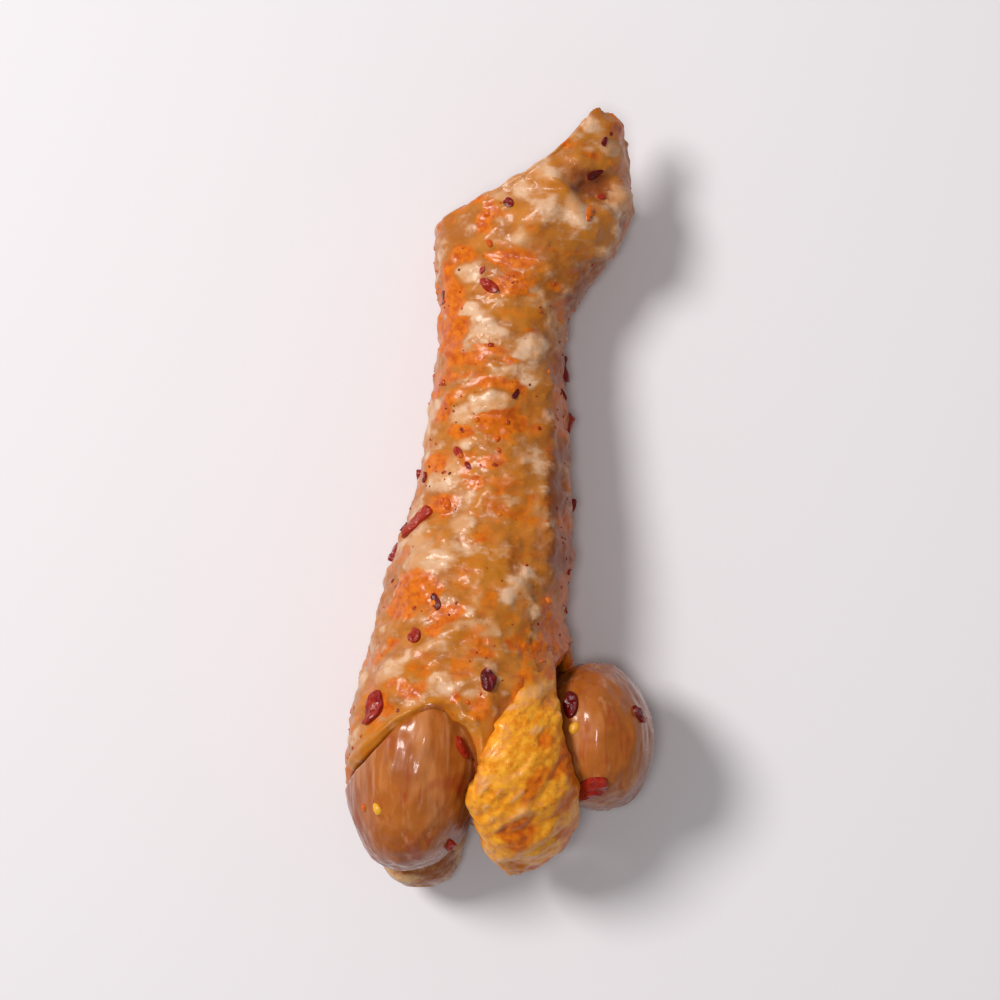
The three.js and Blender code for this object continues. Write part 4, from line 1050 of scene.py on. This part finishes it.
def build_specks():
    """Grains of ground spice, mostly where the marinade is."""
    points, random = scattered_places(SPECK_PLACES, seed=11)
    stained = skin_tones(points)["orange"]
    kept = points[random.uniform(0, 1, len(points)) < 0.1 + 0.7 * stained][:SPECKS]
    chips = []
    for point in kept:
        size = 0.22 + 0.42 * random.random() ** 3
        corners = 0.7 + 0.5 * random.random(6)
        turn = 180 * random.random()
        chips.append(make_chip(point, "skin", size * 1.3, size, turn, corners, 0.12))
    return chip_mesh("spice_specks", chips, GRAIN_PROFILE, 6, {"hue": random.random(len(chips))}, False)


def build_shreds():
    """Small crooked shreds of chilli, between the grains and the flakes in size."""
    points, random = scattered_places(SHREDS, seed=19)
    chips = []
    for point in points:
        size = 0.6 + 0.7 * random.random()
        corners = 0.65 + 0.55 * random.random(7)
        turn = 180 * random.random()
        length = size * (1.2 + random.random())
        chips.append(make_chip(point, "skin", length, size, turn, corners, 0.24, 0.25))
    hue = {"hue": random.random(len(chips))}
    return chip_mesh("chilli_shreds", chips, FLAKE_PROFILE, 14, hue, smooth=False)


# Drops of marinade on the top: plan x and y, length, width, turn and what each lies on.
DROPS = [
    (-6.6, -0.6, 1.5, 1.1, 30, "skin"), (-10.2, -16.7, 1.3, 1.1, 0, "skin"),
    (-4.9, 5.3, 0.8, 0.7, 0, "skin"), (-7.0, 14.2, 0.9, 0.8, 20, "skin"),
    (17.0, -26.4, 1.1, 1.6, 10, "right"), (-2.9, 9.6, 0.7, 0.6, 0, "skin"),
    (0.7, 9.4, 0.8, 0.6, 40, "skin"), (-0.4, 7.3, 0.8, 0.6, -30, "skin"),
    (11.4, -35.2, 1.4, 0.9, 60, "right"), (-8.0, -12.8, 1.0, 0.8, 10, "skin"),
    (5.8, -12.0, 0.9, 1.3, 0, "skin"), (-16.4, -37.0, 1.0, 0.8, 0, "left"),
]
# Chilli seeds: plan x and y, width, turn and what each lies on.
SEEDS = [(-14.8, -37.1, 1.3, 20, "left"), (8.8, -27.2, 1.3, -30, "right")]


def build_drops():
    """Low round beads of oily marinade."""
    random = np.random.default_rng(23)
    chips = []
    for x, y, length, width, turn, ground in DROPS:
        corners = 0.85 + 0.3 * random.random(8)
        chips.append(make_chip(seat_above(x, y, ground), ground, length, width, turn, corners, 0.3))
    places, random = scattered_places(SMALL_DROPS, seed=29)
    for point in places:
        size = 0.45 + 0.8 * random.random() ** 2
        corners = 0.82 + 0.36 * random.random(8)
        turn = 180 * random.random()
        chips.append(make_chip(point, "skin", size * 1.4, size, turn, corners, 0.2 * size + 0.06))
    return chip_mesh("marinade_drops", chips, BEAD_PROFILE, 16, {"hue": random.random(len(chips))})


def build_seeds():
    """Flat round chilli seeds, thicker in the middle."""
    random = np.random.default_rng(31)
    chips = []
    for x, y, width, turn, ground in SEEDS:
        corners = 0.92 + 0.12 * random.random(8)
        chips.append(make_chip(seat_above(x, y, ground), ground, width * 1.25, width, turn, corners, 0.45))
    return chip_mesh("chilli_seeds", chips, BEAD_PROFILE, 24, {"hue": random.random(len(chips))})


# Materials


def linear(red, green, blue):
    """A screen colour, 0 to 255, as the shader's linear one."""
    c = np.array([red, green, blue]) / 255
    return (*np.where(c <= 0.04045, c / 12.92, ((c + 0.055) / 1.055) ** 2.4), 1.0)


# Screen colours of the skin, the meat and the bone
OCHRE = linear(160, 88, 14)
LIGHT_OCHRE = linear(188, 118, 42)
TAN = linear(182, 108, 34)
YELLOW_SKIN = linear(190, 116, 24)
PALE_SKIN = linear(206, 152, 104)
# Painted highlight colour, for glints on pale hilltops.
GLINT_WHITE = linear(224, 190, 160)
ROSY_SKIN = linear(158, 88, 62)
GOLD_FAT = linear(218, 128, 12)
LIGHT_FAT = linear(240, 166, 42)
DEEP_STAIN = linear(184, 76, 0)
BRIGHT_STAIN = linear(216, 114, 2)
# Painted shade, partly marinade stain.
SHADE_BROWN_SKIN = linear(132, 60, 6)
# Painted shade in creases.
CREASE_SHADE_BROWN = linear(136, 66, 20)
SPICE_RED = linear(160, 52, 14)
AMBER_MEAT = linear(150, 74, 18)
LIGHT_MEAT = linear(182, 104, 32)
FIBRE_TAN = linear(182, 110, 48)
BAND_TAN = linear(196, 128, 72)
STREAK_RED = linear(150, 52, 14)
# Darkens the muscles' rims as painted shade, and the meat between them.
RIM_BROWN = linear(122, 50, 16)
MEAT_RED = linear(146, 44, 18)
THREAD_PALE = linear(206, 148, 100)
SHAFT_AMBER = linear(172, 112, 52)
SHAFT_IVORY = linear(200, 152, 92)
GRISTLE_AMBER = linear(164, 98, 34)
GRISTLE_PEARL = linear(206, 162, 110)
BONE_STAIN = linear(150, 74, 22)


class Paint:
    """A node material, built up from small steps."""

    def __init__(self, name):
        self.material = bpy.data.materials.new(name)
        self.material.use_nodes = True
        self.tree = self.material.node_tree
        self.shader = self.tree.nodes["Principled BSDF"]
        self.place = self.tree.nodes.new("ShaderNodeTexCoord").outputs["Object"]

    def node(self, kind, **inputs):
        made = self.tree.nodes.new(kind)
        for key, value in inputs.items():
            self.feed(made.inputs[key.replace("_", " ")], value)
        return made

    def feed(self, socket, value):
        if isinstance(value, bpy.types.NodeSocket):
            self.tree.links.new(value, socket)
        else:
            socket.default_value = value

    def set(self, **inputs):
        for key, value in inputs.items():
            self.feed(self.shader.inputs[key.replace("_", " ")], value)

    def tone(self, name):
        made = self.tree.nodes.new("ShaderNodeAttribute")
        made.attribute_name = name
        return made.outputs["Fac"]

    def noise(self, size, detail=4.0, rough=0.55, stretch=(1, 1, 1), warp=0.0):
        """Noise of about that size in millimetres, from 0 to 1."""
        at = self.node("ShaderNodeMapping", Vector=self.place)
        at.inputs["Scale"].default_value = [1000 / size * s for s in stretch]
        made = self.node("ShaderNodeTexNoise", Vector=at.outputs["Vector"], Scale=1.0)
        made.inputs["Detail"].default_value = detail
        made.inputs["Roughness"].default_value = rough
        made.inputs["Distortion"].default_value = warp
        return made.outputs["Fac"]

    def pits(self, size):
        """Small round cells of about that size in millimetres: 0 at each middle."""
        at = self.node("ShaderNodeMapping", Vector=self.place)
        at.inputs["Scale"].default_value = [1000 / size] * 3
        made = self.node("ShaderNodeTexVoronoi", Vector=at.outputs["Vector"], Scale=1.0)
        return made.outputs["Distance"]

    def ramp(self, value, low, high, to_low=0.0, to_high=1.0):
        made = self.tree.nodes.new("ShaderNodeMapRange")
        made.interpolation_type = "SMOOTHSTEP"
        for socket, number in zip(made.inputs, (value, low, high, to_low, to_high)):
            self.feed(socket, number)
        return made.outputs["Result"]

    def maths(self, operation, first, second):
        made = self.tree.nodes.new("ShaderNodeMath")
        made.operation = operation
        self.feed(made.inputs[0], first)
        self.feed(made.inputs[1], second)
        return made.outputs["Value"]

    def broken(self, tone, noise, breadth, low, high):
        """A tone whose edge is broken up by noise: high where the two add up to more than the limits."""
        swing = self.maths("MULTIPLY", self.maths("SUBTRACT", noise, 0.5), breadth)
        return self.ramp(self.maths("ADD", tone, swing), low, high)

    def mix(self, share, first, second):
        made = self.tree.nodes.new("ShaderNodeMix")
        made.data_type = "RGBA"
        self.feed(made.inputs[0], share)
        self.feed(made.inputs[6], first)
        self.feed(made.inputs[7], second)
        return made.outputs[2]

    def bump(self, height, strength, distance):
        made = self.node("ShaderNodeBump", Height=height, Strength=strength, Distance=distance)
        self.set(Normal=made.outputs["Normal"], Coat_Normal=made.outputs["Normal"])

    def wet(self, scatter, reach, coat, coat_roughness):
        """Light that spreads under the surface, and a wet film over it."""
        self.set(Subsurface_Weight=scatter, Subsurface_Radius=(1.0, 0.45, 0.25), Subsurface_Scale=reach)
        self.set(Coat_Weight=coat, Coat_Roughness=coat_roughness, Coat_IOR=1.4)
        self.set(IOR=1.36, Specular_IOR_Level=0.33)


def skin_paint():
    """Raw skin under marinade: ochre and beige in small patches, with orange stain and painted shade in the
    hollows.

    Marinade lies in the hollows of the relief, and painted shade darkens them. The hills between them
    are paler, with painted highlights on the pale hilltops. Painted shade also browns the right flank
    and the underside.
    """
    paint = Paint("marinated_skin")
    cloud = paint.noise(4.0)
    mottle = paint.ramp(paint.noise(3.3, detail=3.0, stretch=(0.8, 1.35, 1)), 0.36, 0.64)
    fine = paint.noise(1.0, detail=6.0, rough=0.62)
    crisp = paint.ramp(fine, 0.34, 0.66)
    grit = paint.noise(0.45, detail=3.0)
    pits = paint.ramp(paint.pits(1.1), 0.0, 0.45, 1.0, 0.0)
    patchy = paint.maths("ADD", paint.maths("MULTIPLY", crisp, 0.16), paint.maths("MULTIPLY", mottle, 0.44))
    valley = paint.maths("ADD", paint.maths("MULTIPLY", paint.tone("valley"), 0.4), patchy)
    hill = paint.maths("SUBTRACT", 1.0, valley)
    base = paint.mix(mottle, OCHRE, LIGHT_OCHRE)
    base = paint.mix(paint.maths("MULTIPLY", cloud, 0.4), base, TAN)
    yellow = paint.broken(paint.tone("yellow"), crisp, 0.5, 0.15, 0.95)
    base = paint.mix(paint.maths("MULTIPLY", yellow, 0.75), base, YELLOW_SKIN)
    # Pale: unstained skin, and painted highlights where the pale spots lie.
    pale = paint.broken(paint.tone("pale"), hill, 1.1, 0.05, 0.85)
    base = paint.mix(paint.maths("MULTIPLY", pale, 0.85), base, PALE_SKIN)
    # Painted highlight: whitish glints on the tops of the pale hills.
    hilltop_glint = paint.maths("MULTIPLY", pale, paint.ramp(hill, 0.45, 0.85, 0.0, 0.6))
    base = paint.mix(hilltop_glint, base, GLINT_WHITE)
    base = paint.mix(paint.maths("MULTIPLY", paint.tone("rosy"), 0.7), base, ROSY_SKIN)
    fat = paint.mix(crisp, GOLD_FAT, LIGHT_FAT)
    fatty = paint.maths("MULTIPLY", paint.tone("fat"), paint.ramp(pale, 0.2, 0.8, 1.0, 0.6))
    base = paint.mix(fatty, base, fat)
    stain = paint.broken(paint.tone("orange"), valley, 1.0, 0.15, 0.62)
    deep = paint.mix(crisp, DEEP_STAIN, BRIGHT_STAIN)
    base = paint.mix(paint.maths("MULTIPLY", stain, 0.96), base, deep)
    # Brown: painted shade on the right flank, the underside and in hollows, with some marinade stain and a
    # few dark marks; on the tongue it darkens the tip.
    brown = paint.broken(paint.tone("brown"), crisp, 0.4, 0.1, 0.95)
    base = paint.mix(paint.maths("MULTIPLY", brown, 0.9), base, SHADE_BROWN_SKIN)
    # Painted shade in creases and fold hollows, with marinade pooled in them.
    crease = paint.broken(paint.tone("crease"), valley, 0.8, 0.25, 0.95)
    base = paint.mix(paint.maths("MULTIPLY", crease, 0.5), base, CREASE_SHADE_BROWN)
    speck = paint.maths("MULTIPLY", paint.ramp(grit, 0.62, 0.72), paint.ramp(cloud, 0.35, 0.65, 0.15, 0.75))
    base = paint.mix(speck, base, SPICE_RED)
    paint.set(Base_Color=base, Roughness=paint.ramp(fine, 0.2, 0.8, 0.34, 0.5))
    paint.wet(scatter=0.12, reach=0.001, coat=0.4, coat_roughness=0.12)
    height = paint.maths("ADD", paint.maths("MULTIPLY", mottle, 0.35), paint.maths("MULTIPLY", fine, 0.5))
    paint.bump(paint.maths("ADD", height, paint.maths("MULTIPLY", pits, 0.3)), 0.4, 0.0003)
    return paint.material


def meat_paint():
    """Raw muscle under marinade: amber brown with long soft fibres, darker with painted shade and redder
    towards its rim.
    """
    paint = Paint("marinated_muscle")
    thread = paint.noise(1.2, detail=4.0, stretch=(1, 0.1, 1))
    band = paint.noise(3.0, detail=3.0, stretch=(1, 0.25, 1), warp=0.6)
    cloud = paint.noise(3.4)
    fine = paint.noise(1.0, detail=5.0)
    streak = paint.noise(1.7, detail=4.0, stretch=(1, 0.22, 1), warp=0.8)
    base = paint.mix(cloud, AMBER_MEAT, LIGHT_MEAT)
    base = paint.mix(paint.maths("MULTIPLY", paint.tone("fibre"), 0.35), base, FIBRE_TAN)
    base = paint.mix(paint.ramp(band, 0.48, 0.66, 0.0, 0.6), base, BAND_TAN)
    base = paint.mix(paint.ramp(streak, 0.54, 0.68, 0.0, 0.55), base, STREAK_RED)
    # Painted shade: the dark tone darkens each muscle towards its sides and underside.
    base = paint.mix(paint.maths("MULTIPLY", paint.tone("dark"), 0.7), base, RIM_BROWN)
    base = paint.mix(paint.maths("MULTIPLY", paint.tone("red"), 0.5), base, MEAT_RED)
    base = paint.mix(paint.ramp(thread, 0.54, 0.7, 0.0, 0.4), base, THREAD_PALE)
    paint.set(Base_Color=base, Roughness=paint.ramp(fine, 0.3, 0.7, 0.26, 0.4))
    paint.wet(scatter=0.25, reach=0.0016, coat=0.6, coat_roughness=0.1)
    paint.bump(paint.maths("ADD", thread, paint.maths("MULTIPLY", fine, 0.3)), 0.18, 0.00025)
    return paint.material


def bone_paint():
    """Bone and gristle under marinade: ivory with amber stain, pearly at the ends."""
    paint = Paint("stained_bone")
    cloud = paint.noise(1.8, detail=5.0, warp=0.5)
    fine = paint.noise(0.8, detail=6.0, rough=0.65)
    shaft = paint.mix(cloud, SHAFT_AMBER, SHAFT_IVORY)
    gristle = paint.mix(paint.ramp(cloud, 0.35, 0.65), GRISTLE_AMBER, GRISTLE_PEARL)
    base = paint.mix(paint.tone("gristle"), shaft, gristle)
    stain = paint.broken(paint.tone("stain"), paint.ramp(fine, 0.35, 0.65), 0.8, 0.0, 1.1)
    base = paint.mix(paint.maths("MULTIPLY", stain, 0.85), base, BONE_STAIN)
    paint.set(Base_Color=base, Roughness=paint.ramp(cloud, 0.2, 0.8, 0.25, 0.42))
    paint.wet(scatter=0.15, reach=0.001, coat=0.5, coat_roughness=0.12)
    paint.bump(paint.maths("ADD", cloud, fine), 0.4, 0.0003)
    return paint.material


def topping_paint(name, first, middle, last, roughness, bump=0.4):
    """A topping's colour, from three shades picked by each piece's own hue and mottled by noise."""
    paint = Paint(name)
    cloud = paint.noise(0.8, detail=5.0)
    swing = paint.maths("MULTIPLY", paint.maths("SUBTRACT", cloud, 0.5), 1.3)
    hue = paint.maths("ADD", paint.tone("hue"), swing)
    base = paint.mix(paint.ramp(hue, 0.0, 0.5), linear(*first), linear(*middle))
    base = paint.mix(paint.ramp(hue, 0.5, 1.0), base, linear(*last))
    paint.set(Base_Color=base, Roughness=paint.ramp(cloud, 0.3, 0.7, roughness, roughness + 0.15))
    paint.wet(scatter=0.05, reach=0.0006, coat=0.35, coat_roughness=0.15)
    paint.bump(cloud, bump, 0.0003)
    return paint.material


def settle(piece, material, slot, *nodes):
    """Gives a piece its material and its place in the frame."""
    piece.data.materials.append(material)
    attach(piece, "root")
    if nodes:
        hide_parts(*nodes)
    return piece


def build_wing():
    """Every piece of the joint, with its material and the nodes that it replaces."""
    skin = skin_paint()
    meat = meat_paint()
    chilli = topping_paint("chilli_flake", (84, 6, 8), (128, 14, 14), (158, 42, 20), 0.25)
    spice = topping_paint("ground_spice", (110, 18, 8), (168, 52, 12), (190, 90, 18), 0.4)
    oil = topping_paint("marinade_oil", (168, 44, 8), (196, 84, 12), (212, 116, 24), 0.14, bump=0.15)
    seed = topping_paint("chilli_seed", (214, 146, 30), (228, 164, 44), (234, 178, 66), 0.3)
    settle(build_skin(), skin, "skin", "skin")
    settle(build_tongue(), skin, "skin")
    settle(build_core(), meat, "meat", "meat")
    settle(build_muscle("left_muscle", LEFT_MUSCLE), meat, "meat")
    settle(build_muscle("right_muscle", RIGHT_MUSCLE), meat, "meat")
    settle(build_bone(), bone_paint(), "bone", "bone")
    on_skin, on_meat = flake_chips()
    hues = np.random.default_rng(41).random(len(on_skin) + len(on_meat))
    for name, chips, hue, slot in [
        ("chilli_flakes", on_skin, hues[: len(on_skin)], "skin"),
        ("chilli_flakes_on_meat", on_meat, hues[len(on_skin):], "meat"),
    ]:
        flakes = chip_mesh(name, chips, FLAKE_PROFILE, FLAKE_SIDES, {"hue": hue}, smooth=False)
        settle(flakes, chilli, slot)
    settle(build_shreds(), chilli, "skin")
    settle(build_specks(), spice, "skin")
    settle(build_drops(), oil, "skin")
    settle(build_seeds(), seed, "meat")


# The stage


FLOOR_REACH = 3.0
CAMERA_HEIGHT = 0.52


def build_floor():
    mesh = bpy.data.meshes.new("floor")
    corners = [(FLOOR_REACH * x, FLOOR_REACH * y, 0) for x, y in [(-1, -1), (1, -1), (1, 1), (-1, 1)]]
    mesh.from_pydata(corners, [], [(0, 1, 2, 3)])
    floor = bpy.data.objects.new("floor", mesh)
    bpy.context.scene.collection.objects.link(floor)
    paint = Paint("pale_floor")
    paint.set(Base_Color=linear(224, 220, 223), Roughness=0.6)
    mesh.materials.append(paint.material)


def add_light(name, place, target, size, power, colour):
    light = bpy.data.lights.new(name, "AREA")
    light.shape = "DISK"
    light.size = size
    light.energy = power
    light.color = colour
    lamp = bpy.data.objects.new(name, light)
    lamp.location = place
    lamp.rotation_euler = (Vector(target) - Vector(place)).to_track_quat("-Z", "Y").to_euler()
    bpy.context.scene.collection.objects.link(lamp)


def light_stage():
    """A dim even room, a large key light at the upper left and a small light near the camera."""
    world = bpy.data.worlds.new("studio")
    world.use_nodes = True
    world.node_tree.nodes["Background"].inputs["Color"].default_value = (1.0, 0.98, 0.97, 1.0)
    world.node_tree.nodes["Background"].inputs["Strength"].default_value = 0.24
    bpy.context.scene.world = world
    middle = (0, 0, 0.012)
    add_light("key", (-0.45, 0.24, 0.66), middle, 0.26, 6.0, (1.0, 0.985, 0.97))
    add_light("top", (-0.03, -0.02, 0.60), middle, 0.10, 0.7, (0.98, 0.98, 1.0))
    bpy.context.scene.view_settings.view_transform = "Standard"


def place_camera():
    """Straight above the joint, as the photo was taken."""
    camera = bpy.data.objects.new("camera", bpy.data.cameras.new("camera"))
    camera.data.lens = 150
    camera.data.sensor_width = 36
    camera.location = (0, 0, CAMERA_HEIGHT)
    camera.rotation_euler = (0, 0, 0)
    camera.data.clip_start = 0.01
    bpy.context.scene.collection.objects.link(camera)
    bpy.context.scene.camera = camera


build_wing()
build_floor()
light_stage()
place_camera()
